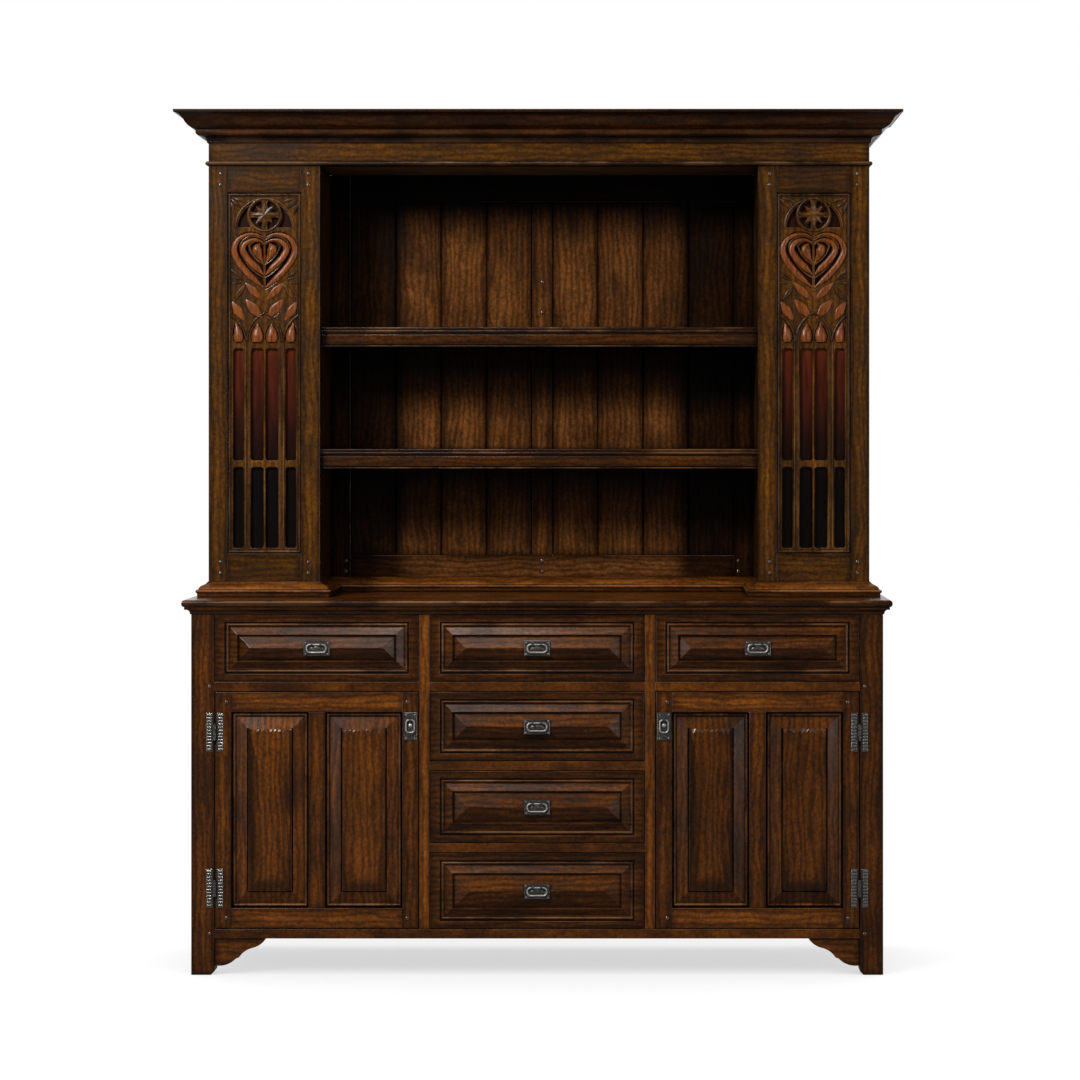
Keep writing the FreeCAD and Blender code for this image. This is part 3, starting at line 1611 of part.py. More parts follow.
def tracery_panel(width, height):
    """The pierced panel over z = 0 with its front face at y = 0."""
    name = "tracery"
    body = new_body(name)
    half = width / 2
    across = (-half, half)
    block(body, f"{name}_plate", across, (ZERO, size.tracery_thickness), (ZERO, height))
    buried = size.tracery_thickness / 2
    edge = size.tracery_edge
    ring_moulding(
        body,
        f"{name}_edge",
        across,
        (ZERO, height),
        [
            (buried, ZERO, 0),
            (ZERO, ZERO, 0),
            (-size.tracery_edge_rise, edge / 2, QUARTER_SHARE),
            (ZERO, edge, QUARTER_SHARE),
            (buried, edge, 0),
        ],
    )
    lower_top, heads_low, spray_low, heart_low, crown_top = tracery_levels(half, height)
    rosette = crown_top - half * ROSETTE_SHARE
    raised_ring(body, f"{name}_arch", half * ARCH_SHARE, crown_top - half * ARCH_SHARE, 180)
    raised_ring(body, f"{name}_rosette", half * ROSETTE_SHARE, rosette, 360)
    for side, sign in SIDES:
        for number, share in enumerate(REED_SHARES, start=1):
            reed = f"{name}_reed_{side}_{number}"
            raised_reed(body, reed, sign * half * share, size.tracery_margin, heads_low)
    for number, points in enumerate(tracery_openings(half, height), start=1):
        drawing = new_sketch(body, "XZ_Plane", f"{name}_opening_{number}")
        for side, sign in SIDES:
            outline(drawing, mirrored(points, sign))
        pocket_through(body, drawing, f"{name}_pierced_{number}")
    drawing = new_sketch(body, "XZ_Plane", f"{name}_petals")
    for points in rosette_openings(half, rosette):
        outline(drawing, points)
    pocket_through(body, drawing, f"{name}_petals_pierced")
    return body


def tracery():
    width = size.pillar_width - 2 * size.pillar_stile - 2 * size.panel_clearance
    height = panel_top - panel_low - 2 * size.panel_clearance
    panel = tracery_panel(width, height)
    face = hutch_front + size.tracery_recess
    low = panel_low + size.panel_clearance
    panels = []
    backings = []
    backing_front = face + size.tracery_thickness
    for side, sign in SIDES:
        middle = sign * pillar_middle
        panels.append(copy_at(f"tracery_{side}", panel, (middle, face, low)))
        across = (middle - width / 2, middle + width / 2)
        depth = (backing_front, backing_front + size.tracery_backing)
        backings.append(board(f"tracery_backing_{side}", across, depth, (low, low + height)))
    node("tracery_panels", panels)
    node("tracery_backings", backings)


def door_catches():
    """A magnet block on each partition, behind the free edge of its door."""
    pieces = []
    low = mid_rail - size.catch_height - size.catch_drop
    depth_low = front + size.door_thickness + size.running_clearance
    for side, sign in SIDES:
        across = side_span(sign, partition_outside, partition_outside + size.catch_width)
        depth = (depth_low, depth_low + size.catch_depth)
        pieces.append(board(f"door_catch_{side}", across, depth, (low, low + size.catch_height)))
    node("door_catches", pieces)


def check_document():
    doc.recompute()
    for item in doc.Objects:
        if "Invalid" in item.State or "Error" in item.State:
            raise RuntimeError(f"{item.Name} failed: {item.State}")
    for label, item in nodes.items():
        if item.Shape.isNull() or not item.Shape.isValid():
            raise RuntimeError(f"{label} has no valid shape")


def write_parts():
    os.makedirs("parts", exist_ok=True)
    for label, item in nodes.items():
        item.Shape.exportStep(f"parts/{label}.step")


legs(base_sides())
face_frame()
foot_brackets()
base_inside()
counter()
drawers()
doors()
frame_hinges()
door_catches()
pillar_frames()
pillar_walls(hutch_shelves())
hutch_back()
hutch_top()
plinths()
frieze()
cornice()
tracery()
node("joint_pegs", joint_pegs)
check_document()
write_parts()
print(f"{len(nodes)} sub-parts, {sum(len(item.Shape.Solids) for item in nodes.values())} solids")
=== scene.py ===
import json
import math
import random

import bmesh
import bpy
from bpy.props import FloatProperty, FloatVectorProperty, PointerProperty
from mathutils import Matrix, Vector

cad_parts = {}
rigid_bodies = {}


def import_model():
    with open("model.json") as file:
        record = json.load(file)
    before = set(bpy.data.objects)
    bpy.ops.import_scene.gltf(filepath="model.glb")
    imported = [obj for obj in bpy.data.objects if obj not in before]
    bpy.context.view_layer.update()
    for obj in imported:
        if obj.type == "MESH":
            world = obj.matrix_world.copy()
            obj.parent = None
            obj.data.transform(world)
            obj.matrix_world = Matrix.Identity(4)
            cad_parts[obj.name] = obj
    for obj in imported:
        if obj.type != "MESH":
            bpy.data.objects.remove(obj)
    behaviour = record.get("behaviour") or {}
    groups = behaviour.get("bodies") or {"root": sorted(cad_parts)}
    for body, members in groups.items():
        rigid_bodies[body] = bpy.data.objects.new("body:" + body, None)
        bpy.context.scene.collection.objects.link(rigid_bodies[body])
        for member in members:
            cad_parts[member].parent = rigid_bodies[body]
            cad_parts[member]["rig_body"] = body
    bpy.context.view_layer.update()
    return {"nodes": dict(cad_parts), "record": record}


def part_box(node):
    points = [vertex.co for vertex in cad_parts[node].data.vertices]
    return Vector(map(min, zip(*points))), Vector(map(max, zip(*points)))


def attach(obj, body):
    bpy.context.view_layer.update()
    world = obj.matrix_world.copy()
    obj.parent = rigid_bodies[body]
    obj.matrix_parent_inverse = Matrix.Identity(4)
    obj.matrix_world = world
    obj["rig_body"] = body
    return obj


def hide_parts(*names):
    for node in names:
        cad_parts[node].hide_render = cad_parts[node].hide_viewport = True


bl_info = {
    "name": "Oak Hutch",
    "version": (1, 0, 0),
    "blender": (4, 5, 0),
    "location": "3D View > Sidebar > Hutch",
    "description": "Dresses the hutch in worn oak, carved tracery and forged iron",
    "category": "Object",
}

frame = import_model()
MM = 0.001


def linear(hex_colour):
    """The linear colour of an sRGB hex value, with full alpha."""
    parts = [int(hex_colour[at : at + 2], 16) / 255 for at in (1, 3, 5)]
    curve = [part / 12.92 if part <= 0.04045 else ((part + 0.055) / 1.055) ** 2.4 for part in parts]
    return (*curve, 1.0)


def colour_setting(name, description, hex_colour):
    """A colour in the panel, with its first value in sRGB hex."""
    first = linear(hex_colour)
    return FloatVectorProperty(
        name=name, description=description, default=first, size=4, subtype="COLOR", min=0, max=1
    )


def length_setting(name, description, millimetres):
    """A length in the panel, with its first value in millimetres."""
    return FloatProperty(
        name=name, description=description, default=millimetres * MM, unit="LENGTH", min=0
    )


class HutchColours(bpy.types.PropertyGroup):
    """Colours of the finishes."""

    oak_dark: colour_setting("Dark oak", "Stain in the dark grain of the base", "#22110A")
    oak_light: colour_setting("Light oak", "Stain between the dark grain of the base", "#743F0E")
    golden_dark: colour_setting("Golden oak, dark", "Dark grain of the upper part", "#2A170A")
    golden_light: colour_setting("Golden oak, light", "Light grain of the upper part", "#74460F")
    back_light: colour_setting("Back oak, light", "Light grain behind the shelves", "#744620")
    inside_dark: colour_setting("Inside oak, dark", "Dark grain of the inside boards", "#4A2E1A")
    inside_light: colour_setting("Inside oak, light", "Light grain of the inside boards", "#8A6040")
    # The glaze is black wax and also the painted shade in corners, quirks and gaps
    glaze_and_shade: colour_setting("Glaze", "Black wax that is left in corners and quirks", "#080402")
    # The worn colour also paints the highlight on upper edges
    worn: colour_setting("Worn edge", "Oak that shows where the stain is rubbed through", "#8C6440")
    peg: colour_setting("Peg", "Polished end of a peg", "#4A3120")
    carving_stain: colour_setting("Carving stain", "Stain on the strands and leaves", "#8A4712")
    infill_high: colour_setting("Infill, top", "Panel behind the heart and the rosette", "#2A1008")
    infill_upper: colour_setting("Infill, heads", "Panel behind the pointed heads", "#74311A")
    infill_middle: colour_setting("Infill, middle", "Panel behind the top of the tall lights", "#54200F")
    infill_lower: colour_setting("Infill, lower", "Panel behind the foot of the tall lights", "#220D07")
    infill_low: colour_setting("Infill, foot", "Panel behind the short lights", "#0A0504")
    iron: colour_setting("Iron", "Rubbed edge of the forged iron", "#C4C0B8")
    iron_dark: colour_setting("Iron scale", "Dark scale in the hollows of the iron", "#1A1816")


class HutchSizes(bpy.types.PropertyGroup):
    """Sizes of the small forms that are worked into the pieces."""

    edge: length_setting("Eased edge", "Width of a board's rubbed edge", 1.2)
    board_joint: length_setting("Board joint", "Width of the slope at a back board's joint", 3.0)
    carving: length_setting("Carved edge", "Width of the rounded edge of the tracery", 1.8)
    iron_edge: length_setting("Iron edge", "Width of the rounded edge of the iron", 0.5)
    gouge: length_setting("Gouge", "Depth of the gouge marks along a door's raised fields", 13.0)
    quirk: length_setting("Quirk", "Width of the groove round a door's raised fields", 2.6)
    rib: length_setting("Carved rib", "Thickness of the carved ribs over the tracery's lights", 6.4)
    peg_radius: length_setting("Peg radius", "Radius of a peg's rounded end", 5.2)
    peg_rise: length_setting("Peg rise", "How far a peg's end stands out", 2.4)
    pore_width: length_setting("Pore width", "Width of a streak of pores", 2.4)
    pore_length: length_setting("Pore length", "Length of a streak of pores", 20.0)
    fleck: length_setting("Fleck", "Size of the flecks in the stain", 9.0)
    figure_width: length_setting("Figure width", "Distance between two growth rings", 16.0)


def fill(tree, node, links):
    """Puts links or values on the inputs of a node, by name or in order."""
    for socket, source in links.items() if isinstance(links, dict) else enumerate(links):
        if isinstance(source, bpy.types.NodeSocket):
            tree.links.new(source, node.inputs[socket])
        else:
            node.inputs[socket].default_value = source


def add(tree, kind, links=(), out=0, **settings):
    """Adds a node with its settings and its links or values, and gives one of its outputs."""
    node = tree.nodes.new(kind)
    for name, value in settings.items():
        setattr(node, name, value)
    fill(tree, node, links)
    return node.outputs[out]


MATERIALS = {}


def new_material(name):
    """Starts a material and gives its nodes and its surface shader."""
    material = bpy.data.materials.new(name)
    material.use_nodes = True
    MATERIALS[name] = material
    return material.node_tree, material.node_tree.nodes["Principled BSDF"]


# Inputs and output of a Mix node that mixes colours. A Map Range node takes its value, the range that
# the value comes in and the range that it is brought to.
FACTOR, FIRST, SECOND, MIXED = 0, 6, 7, 2


def fill_ramp(colour_ramp, stops):
    """Sets the stops of a colour ramp, each a place and a colour."""
    for stop in stops[2:]:
        colour_ramp.elements.new(1.0)
    for element, (place, colour) in zip(colour_ramp.elements, stops):
        element.position = place
        element.color = colour


def oak(name, dark, light, shade=None, gloss=0.23, shine=0.26):
    """Stained and waxed oak: short open pores, growth rings in arches, flecks and a cloudy hand-rubbed
    stain. Its edges are rubbed lighter, most on upper edges, which is partly a painted highlight. Painted
    light and shade make it lighter on what faces up, darker on what faces down and towards each
    board's rim, and black wax with painted shade darkens every corner."""
    colours = bpy.context.scene.hutch_colours
    sizes = bpy.context.scene.hutch_sizes
    tree, shader = new_material(name)
    grain, board, reach, tint_and_shade, worn = (
        add(tree, "ShaderNodeAttribute", out=out, attribute_name=name)
        for name, out in (
            ("grain", "Vector"), ("board", "Vector"), ("reach", "Vector"), ("tint_and_shade", "Fac"), ("worn", "Fac"),
        )
    )

    # Pores and flecks are drawn a little coarser than real ones, so that they show from across a room
    across, along = 1 / sizes.pore_width, 1 / sizes.pore_length
    place = add(tree, "ShaderNodeMapping", {"Vector": grain, "Scale": (along, across, across)})
    links = {"Vector": place, "Scale": 1.0, "Detail": 3.0, "Roughness": 0.6}
    pores = add(tree, "ShaderNodeTexNoise", links)
    links = {"Vector": grain, "Scale": 1 / sizes.fleck, "Detail": 3.0, "Roughness": 0.7}
    flecks = add(tree, "ShaderNodeTexNoise", links)
    # Clouds of stain are about 170 mm long and 80 mm wide, as a rag leaves them
    place = add(tree, "ShaderNodeMapping", {"Vector": grain, "Scale": (6.0, 13.0, 13.0)})
    links = {"Vector": place, "Scale": 1.0, "Detail": 4.0, "Roughness": 0.6}
    clouds = add(tree, "ShaderNodeTexNoise", links)
    # Swells that a scraper leaves are about 70 mm long and 22 mm wide
    place = add(tree, "ShaderNodeMapping", {"Vector": grain, "Scale": (14.0, 45.0, 45.0)})
    swell = add(tree, "ShaderNodeTexNoise", {"Vector": place, "Scale": 1.0, "Detail": 2.0})
    place = add(tree, "ShaderNodeMapping", {"Vector": grain, "Scale": (0.3, 1.0, 0.6)})
    # A wave of scale 1 repeats every 0.314 m
    links = {"Vector": place, "Scale": 0.314 / sizes.figure_width, "Distortion": 12.0, "Detail": 3.0}
    links |= {"Detail Scale": 0.7, "Detail Roughness": 0.6}
    rings = add(tree, "ShaderNodeTexWave", links, out="Fac", bands_direction="Y")

    pore_tone = add(tree, "ShaderNodeMapRange", (pores, 0.34, 0.62, 0.62, 1.0))
    ring_tone = add(tree, "ShaderNodeMapRange", (rings, 0.05, 0.85, 0.48, 1.0))
    light_amount = add(tree, "ShaderNodeMath", (pore_tone, ring_tone), operation="MULTIPLY")
    links = {FACTOR: light_amount, FIRST: dark, SECOND: light}
    stain = add(tree, "ShaderNodeMix", links, out=MIXED, data_type="RGBA")

    # Distance from the rim of the board, in metres, a little uneven
    inward = add(tree, "ShaderNodeVectorMath", (board,), operation="ABSOLUTE")
    room = add(tree, "ShaderNodeVectorMath", (reach, inward), operation="SUBTRACT")
    along_room = add(tree, "ShaderNodeSeparateXYZ", (room,), out="X")
    across_room = add(tree, "ShaderNodeSeparateXYZ", (room,), out="Y")
    rim = add(tree, "ShaderNodeMath", (along_room, across_room), operation="MINIMUM")
    uneven = add(tree, "ShaderNodeMath", (clouds, -0.02, rim), operation="MULTIPLY_ADD")
    # Painted shade: darker towards the board's rim, and round the painted light middle of a raised field
    rim_painted_shade = add(tree, "ShaderNodeMapRange", (uneven, -0.011, 0.011, 0.34, 1.0))

    # Painted light and shade: faces that look up are lighter, faces that look down darker
    normal = add(tree, "ShaderNodeNewGeometry", out="Normal")
    upward = add(tree, "ShaderNodeSeparateXYZ", (normal,), out="Z")
    painted_facing_light = add(tree, "ShaderNodeMapRange", (upward, -0.45, 0.45, 0.4, 1.15))
    cloud_tone = add(tree, "ShaderNodeMapRange", (clouds, 0.34, 0.66, 0.5, 1.5))
    fleck_tone = add(tree, "ShaderNodeMapRange", (flecks, 0.3, 0.7, 0.55, 1.45))
    tone = tint_and_shade
    for part in (cloud_tone, fleck_tone, rim_painted_shade, painted_facing_light, shade and shade(tree)):
        if part:
            tone = add(tree, "ShaderNodeMath", (tone, part), operation="MULTIPLY")
    toned = add(tree, "ShaderNodeVectorMath", {0: stain, "Scale": tone}, operation="SCALE")

    # Worn edges are lighter, and more where they face up: real wear, and a painted highlight on upper edges
    upper = add(tree, "ShaderNodeMapRange", (upward, -0.1, 0.5, 0.12, 0.6))
    patches = add(tree, "ShaderNodeMapRange", (clouds, 0.46, 0.58, 0.0, 1.0))
    rubbed = add(tree, "ShaderNodeMath", (worn, upper), operation="MULTIPLY")
    rubbed = add(tree, "ShaderNodeMath", (rubbed, patches), operation="MULTIPLY")
    links = {FACTOR: rubbed, FIRST: toned, SECOND: colours.worn}
    with_wear_and_highlight = add(tree, "ShaderNodeMix", links, out=MIXED, data_type="RGBA")

    # Black wax and painted shade gather within about a centimetre of an inner corner, and blackest right in
    # it
    near = add(tree, "ShaderNodeAmbientOcclusion", {"Distance": 0.016}, out="AO", samples=5)
    close = add(tree, "ShaderNodeAmbientOcclusion", {"Distance": 0.004}, out="AO", samples=5)
    near_wax_shade = add(tree, "ShaderNodeMapRange", (near, 0.35, 0.9, 0.95, 0.0))
    close_wax_shade = add(tree, "ShaderNodeMapRange", (close, 0.5, 0.88, 0.95, 0.0))
    wax_and_shade = add(tree, "ShaderNodeMath", (near_wax_shade, close_wax_shade), operation="MAXIMUM")
    links = {FACTOR: wax_and_shade, FIRST: with_wear_and_highlight, SECOND: colours.glaze_and_shade}
    glazed_and_shaded = add(tree, "ShaderNodeMix", links, out=MIXED, data_type="RGBA")

    polish = add(tree, "ShaderNodeMapRange", (clouds, 0.3, 0.7, gloss + 0.08, gloss - 0.05))
    height = add(tree, "ShaderNodeMath", (pore_tone, 0.3, swell), operation="MULTIPLY_ADD")
    bump = add(tree, "ShaderNodeBump", {"Height": height, "Strength": 0.28, "Distance": 0.0014})
    links = {"Base Color": glazed_and_shaded, "Roughness": polish, "Specular IOR Level": shine, "Normal": bump}
    fill(tree, shader, links)


# Heights on the back, each with the share of its light that is left there: painted shade darkens the
# boards under each shelf and under the ceiling
BACK_PAINTED_SHADE = (
    (1.03, 1.0), (1.10, 0.75), (1.18, 0.36), (1.25, 0.08), (1.31, 0.03), (1.316, 1.1),
    (1.39, 1.1), (1.46, 0.5), (1.53, 0.08), (1.622, 0.03), (1.628, 1.1), (1.85, 0.95),
    (1.92, 0.45), (1.965, 0.03), (2.04, 0.01),
)


def painted_back_shade(tree):
    """Painted shade on the back: it grows darker towards the pillars and upwards in each bay."""
    place = add(tree, "ShaderNodeTexCoord", out="Object")
    across = add(tree, "ShaderNodeSeparateXYZ", (place,), out="X")
    high = add(tree, "ShaderNodeSeparateXYZ", (place,), out="Z")
    far = add(tree, "ShaderNodeMath", (across,), operation="ABSOLUTE")
    links = (far, 0.33, 0.392, 1.0, 0.2)
    side_painted_shade = add(tree, "ShaderNodeMapRange", links, interpolation_type="SMOOTHSTEP")
    low, top = BACK_PAINTED_SHADE[0][0], BACK_PAINTED_SHADE[-1][0]
    rise = add(tree, "ShaderNodeMapRange", (high, low, top))
    bay_painted_shade = add(tree, "ShaderNodeValToRGB", (rise,))
    stops = [((height - low) / (top - low), (tone, tone, tone, 1.0)) for height, tone in BACK_PAINTED_SHADE]
    fill_ramp(bay_painted_shade.node.color_ramp, stops)
    tone = add(tree, "ShaderNodeMath", (side_painted_shade, bay_painted_shade), operation="MULTIPLY")
    # The rear is stained evenly
    normal = add(tree, "ShaderNodeNewGeometry", out="Normal")
    backward = add(tree, "ShaderNodeSeparateXYZ", (normal,), out="Y")
    return add(tree, "ShaderNodeMapRange", (backward, 0.1, 0.6, tone, 0.8))


def infill():
    """Thin stained panel: dark behind the heart, red behind the lights, black at the foot."""
    colours = bpy.context.scene.hutch_colours
    tree, shader = new_material("stained_infill")
    place = add(tree, "ShaderNodeTexCoord", out="Object")
    height = add(tree, "ShaderNodeSeparateXYZ", (place,), out="Z")
    low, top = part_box("tracery_backings")
    rise = add(tree, "ShaderNodeMapRange", (height, low.z, top.z))
    stain = add(tree, "ShaderNodeValToRGB", (rise,))
    stops = ((0.20, colours.infill_low), (0.32, colours.infill_lower), (0.55, colours.infill_middle))
    stops += ((0.60, colours.infill_upper), (0.64, colours.infill_upper), (0.67, colours.infill_high))
    fill_ramp(stain.node.color_ramp, stops)
    # Streaks of stain about 6 mm wide and 70 mm long
    streak_place = add(tree, "ShaderNodeMapping", {"Vector": place, "Scale": (160.0, 160.0, 14.0)})
    streaks = add(tree, "ShaderNodeTexNoise", {"Vector": streak_place, "Scale": 1.0, "Detail": 3.0})
    tone = add(tree, "ShaderNodeMapRange", (streaks, 0.3, 0.7, 0.65, 1.3))
    toned = add(tree, "ShaderNodeVectorMath", {0: stain, "Scale": tone}, operation="SCALE")
    fill(tree, shader, {"Base Color": toned, "Roughness": 0.3, "Specular IOR Level": 0.12})


def carving_stain():
    """Carved oak under an orange brown stain, satin on its crowns, with black painted shade in the gaps."""
    colours = bpy.context.scene.hutch_colours
    tree, shader = new_material("stained_carving")
    place = add(tree, "ShaderNodeTexCoord", out="Object")
    # Streaks of grain about 4 mm wide and 40 mm long
    streak_place = add(tree, "ShaderNodeMapping", {"Vector": place, "Scale": (250.0, 250.0, 25.0)})
    streaks = add(tree, "ShaderNodeTexNoise", {"Vector": streak_place, "Scale": 1.0, "Detail": 3.0})
    tone = add(tree, "ShaderNodeMapRange", (streaks, 0.32, 0.68, 0.4, 1.35))
    links = {0: colours.carving_stain[:3], "Scale": tone}
    toned = add(tree, "ShaderNodeVectorMath", links, operation="SCALE")
    # Painted shade: black in the gaps between the strands
    near = add(tree, "ShaderNodeAmbientOcclusion", {"Distance": 0.014}, out="AO", samples=5)
    wax_and_shade = add(tree, "ShaderNodeMapRange", (near, 0.45, 0.98, 0.97, 0.1))
    links = {FACTOR: wax_and_shade, FIRST: toned, SECOND: colours.glaze_and_shade}
    glazed_and_shaded = add(tree, "ShaderNodeMix", links, out=MIXED, data_type="RGBA")
    bump = add(tree, "ShaderNodeBump", {"Height": streaks, "Strength": 0.25, "Distance": 0.001})
    links = {"Base Color": glazed_and_shaded, "Roughness": 0.3, "Specular IOR Level": 0.35, "Normal": bump}
    fill(tree, shader, links)


def iron():
    """Forged iron, hammered and waxed: dark pewter faces, bright rubbed edges, and black scale in the
    hollows."""
    colours = bpy.context.scene.hutch_colours
    tree, shader = new_material("forged_iron")
    place = add(tree, "ShaderNodeTexCoord", out="Object")
    worn = add(tree, "ShaderNodeAttribute", out="Fac", attribute_name="worn")
    # Hammer marks are about 5 mm across and the grit of the scale 2.4 mm, coarser than real scale so
    # that it shows
    links = {"Vector": place, "Scale": 200.0, "Smoothness": 0.6}
    marks = add(tree, "ShaderNodeTexVoronoi", links, feature="SMOOTH_F1")
    grit = add(tree, "ShaderNodeTexNoise", {"Vector": place, "Scale": 420.0, "Detail": 3.0})
    face = add(tree, "ShaderNodeMapRange", (grit, 0.35, 0.65, 0.72, 0.97))
    unworn = add(tree, "ShaderNodeMapRange", (worn, 0.0, 1.0, 1.0, 0.1))
    face = add(tree, "ShaderNodeMath", (face, unworn), operation="MULTIPLY")
    open_sky = add(tree, "ShaderNodeAmbientOcclusion", {"Distance": 0.006}, out="AO", samples=6)
    hollow = add(tree, "ShaderNodeMapRange", (open_sky, 0.4, 0.92, 1.0, 0.0))
    scale_amount = add(tree, "ShaderNodeMath", (hollow, face), operation="MAXIMUM")
    links = {FACTOR: scale_amount, FIRST: colours.iron, SECOND: colours.iron_dark}
    colour = add(tree, "ShaderNodeMix", links, out=MIXED, data_type="RGBA")
    height = add(tree, "ShaderNodeMath", (grit, 0.3, marks), operation="MULTIPLY_ADD")
    bump = add(tree, "ShaderNodeBump", {"Height": height, "Strength": 0.5, "Distance": 0.0012})
    fill(tree, shader, {"Base Color": colour, "Metallic": 0.8, "Roughness": 0.36, "Normal": bump})


def peg_polish():
    """The end of an oak peg, rubbed smooth and waxed until it shines."""
    colours = bpy.context.scene.hutch_colours
    tree, shader = new_material("peg_oak")
    place = add(tree, "ShaderNodeTexCoord", out="Object")
    # Specks of end grain are about 2 mm across
    specks = add(tree, "ShaderNodeTexNoise", {"Vector": place, "Scale": 500.0, "Detail": 2.0})
    tone = add(tree, "ShaderNodeMapRange", (specks, 0.3, 0.7, 0.6, 1.4))
    toned = add(tree, "ShaderNodeVectorMath", {0: colours.peg[:3], "Scale": tone}, operation="SCALE")
    links = {"Base Color": toned, "Roughness": 0.3, "Coat Weight": 1.0, "Coat Roughness": 0.12}
    fill(tree, shader, links)


def make_materials():
    """Makes every finish of the hutch."""
    colours = bpy.context.scene.hutch_colours
    oak("dark_oak", colours.oak_dark, colours.oak_light)
    oak("golden_oak", colours.golden_dark, colours.golden_light)
    # The back carries painted shade beside the pillars and under the shelves and the ceiling
    oak("back_oak_painted_shade", colours.golden_dark, colours.back_light, shade=painted_back_shade, shine=0.1)
    oak("plain_oak", colours.inside_dark, colours.inside_light, gloss=0.6)
    infill()
    carving_stain()
    iron()
    peg_polish()


# Pieces are worked from welded copies of the solids

WELD = 1e-6
# Two places nearer than this are one
NEAR = 1e-5
# What rises by more than this share of its length is upright
STEEP = 0.9
FLAT_ANGLE = math.radians(0.5)
CORNER_ANGLE = math.radians(25)
SMOOTH_ANGLE = math.radians(14)
SEED = 17
# Range of a board's tint, and how far in metres its run of grain may be shifted from another's
BOARD_TINTS = (0.88, 1.12)
GRAIN_SHIFT = 9
# A face is an eased edge if its area is less than this share of its length times the edge's width
EDGE_SHARE = 0.8
# How far a door's raised field stands out over its bevel
FIELD_STEP = 0.003
# Half the length and half the width of the painted light middle of a door's raised field
FIELD_LIT_HALVES = (0.184, 0.0425)
# Width of a tracery panel between its pillar's stiles
PANEL_WIDTH = 0.1872
# How far the raised arch of a tracery panel stands out over its face
ARCH_RISE = 0.004
# Share of a boss's rise by which it reaches into the face that it sits on
BOSS_ROOT = 0.3


def select_only(piece):
    """Selects one piece, and makes it the active one."""
    bpy.ops.object.select_all(action="DESELECT")
    piece.select_set(True)
    bpy.context.view_layer.objects.active = piece


def open_all(piece):
    """Opens a piece for editing, with all of it selected."""
    select_only(piece)
    bpy.ops.object.mode_set(mode="EDIT")
    bpy.ops.mesh.select_all(action="SELECT")


def open_edges(piece, join_flat=True):
    """Opens a piece for work on its edges, and first joins flat triangles into whole faces."""
    open_all(piece)
    bpy.ops.mesh.select_mode(type="EDGE")
    if join_flat:
        bpy.ops.mesh.dissolve_limited(angle_limit=FLAT_ANGLE)
    bpy.ops.mesh.select_all(action="DESELECT")
    return bmesh.from_edit_mesh(piece.data)


def welded_copy(node, name):
    """A copy of a node in which each solid is welded into one closed shell of its own."""
    piece = bpy.data.objects.new(name, frame["nodes"][node].data.copy())
    bpy.context.scene.collection.objects.link(piece)
    piece.data.name = name
    select_only(piece)
    bpy.ops.mesh.customdata_custom_splitnormals_clear()
    mesh = bmesh.new()
    mesh.from_mesh(piece.data)
    bmesh.ops.split_edges(mesh, edges=mesh.edges)
    # The solids' faces come one solid after the other, and a solid is whole when no edge is unpaired
    unpaired = set()
    shells = [[]]
    for face in mesh.faces:
        shells[-1].extend(face.verts)
        corners = [tuple(round(value, 6) for value in vert.co) for vert in face.verts]
        for edge in zip(corners, corners[1:] + corners[:1]):
            unpaired ^= {frozenset(edge)}
        if not unpaired:
            shells.append([])
    for shell in shells:
        if shell:
            bmesh.ops.remove_doubles(mesh, verts=shell, dist=WELD)
    mesh.to_mesh(piece.data)
    mesh.free()
    return piece


def is_outer(edge, width):
    """Whether an edge is an outer corner that is long enough to be eased."""
    if len(edge.link_faces) != 2 or not edge.is_convex:
        return False
    return edge.calc_face_angle() > CORNER_ANGLE and edge.calc_length() > 3 * width


def ease_edges(piece, width, segments=2, chosen=None, join_flat=True):
    """Rounds the outer edges, or those of them that are chosen."""
    mesh = open_edges(piece, join_flat)
    count = 0
    for edge in mesh.edges:
        wanted = is_outer(edge, width) and (chosen is None or chosen(edge))
        edge.select_set(wanted)
        count += wanted
    bmesh.update_edit_mesh(piece.data)
    if count:
        bpy.ops.mesh.bevel(
            offset=width,
            segments=segments,
            profile=0.5,
            affect="EDGES",
            clamp_overlap=False,
            loop_slide=True,
        )
    bpy.ops.object.mode_set(mode="OBJECT")


def shells_of(mesh):
    """The vertices of each connected shell of a mesh."""
    parent = list(range(len(mesh.vertices)))

    def root(index):
        while parent[index] != index:
            parent[index] = parent[parent[index]]
            index = parent[index]
        return index

    for edge in mesh.edges:
        first, second = root(edge.vertices[0]), root(edge.vertices[1])
        parent[first] = second
    groups = {}
    for index in range(len(parent)):
        groups.setdefault(root(index), []).append(index)
    return list(groups.values())


def corners_of(mesh, shell):
    """The lowest and the highest corner of the box round a shell."""
    places = [mesh.vertices[index].co for index in shell]
    return [Vector([pick(place[axis] for place in places) for axis in range(3)]) for pick in (min, max)]


def full_tone(middle):
    """The tone of a board that is stained as its finish is."""
    return 1.0


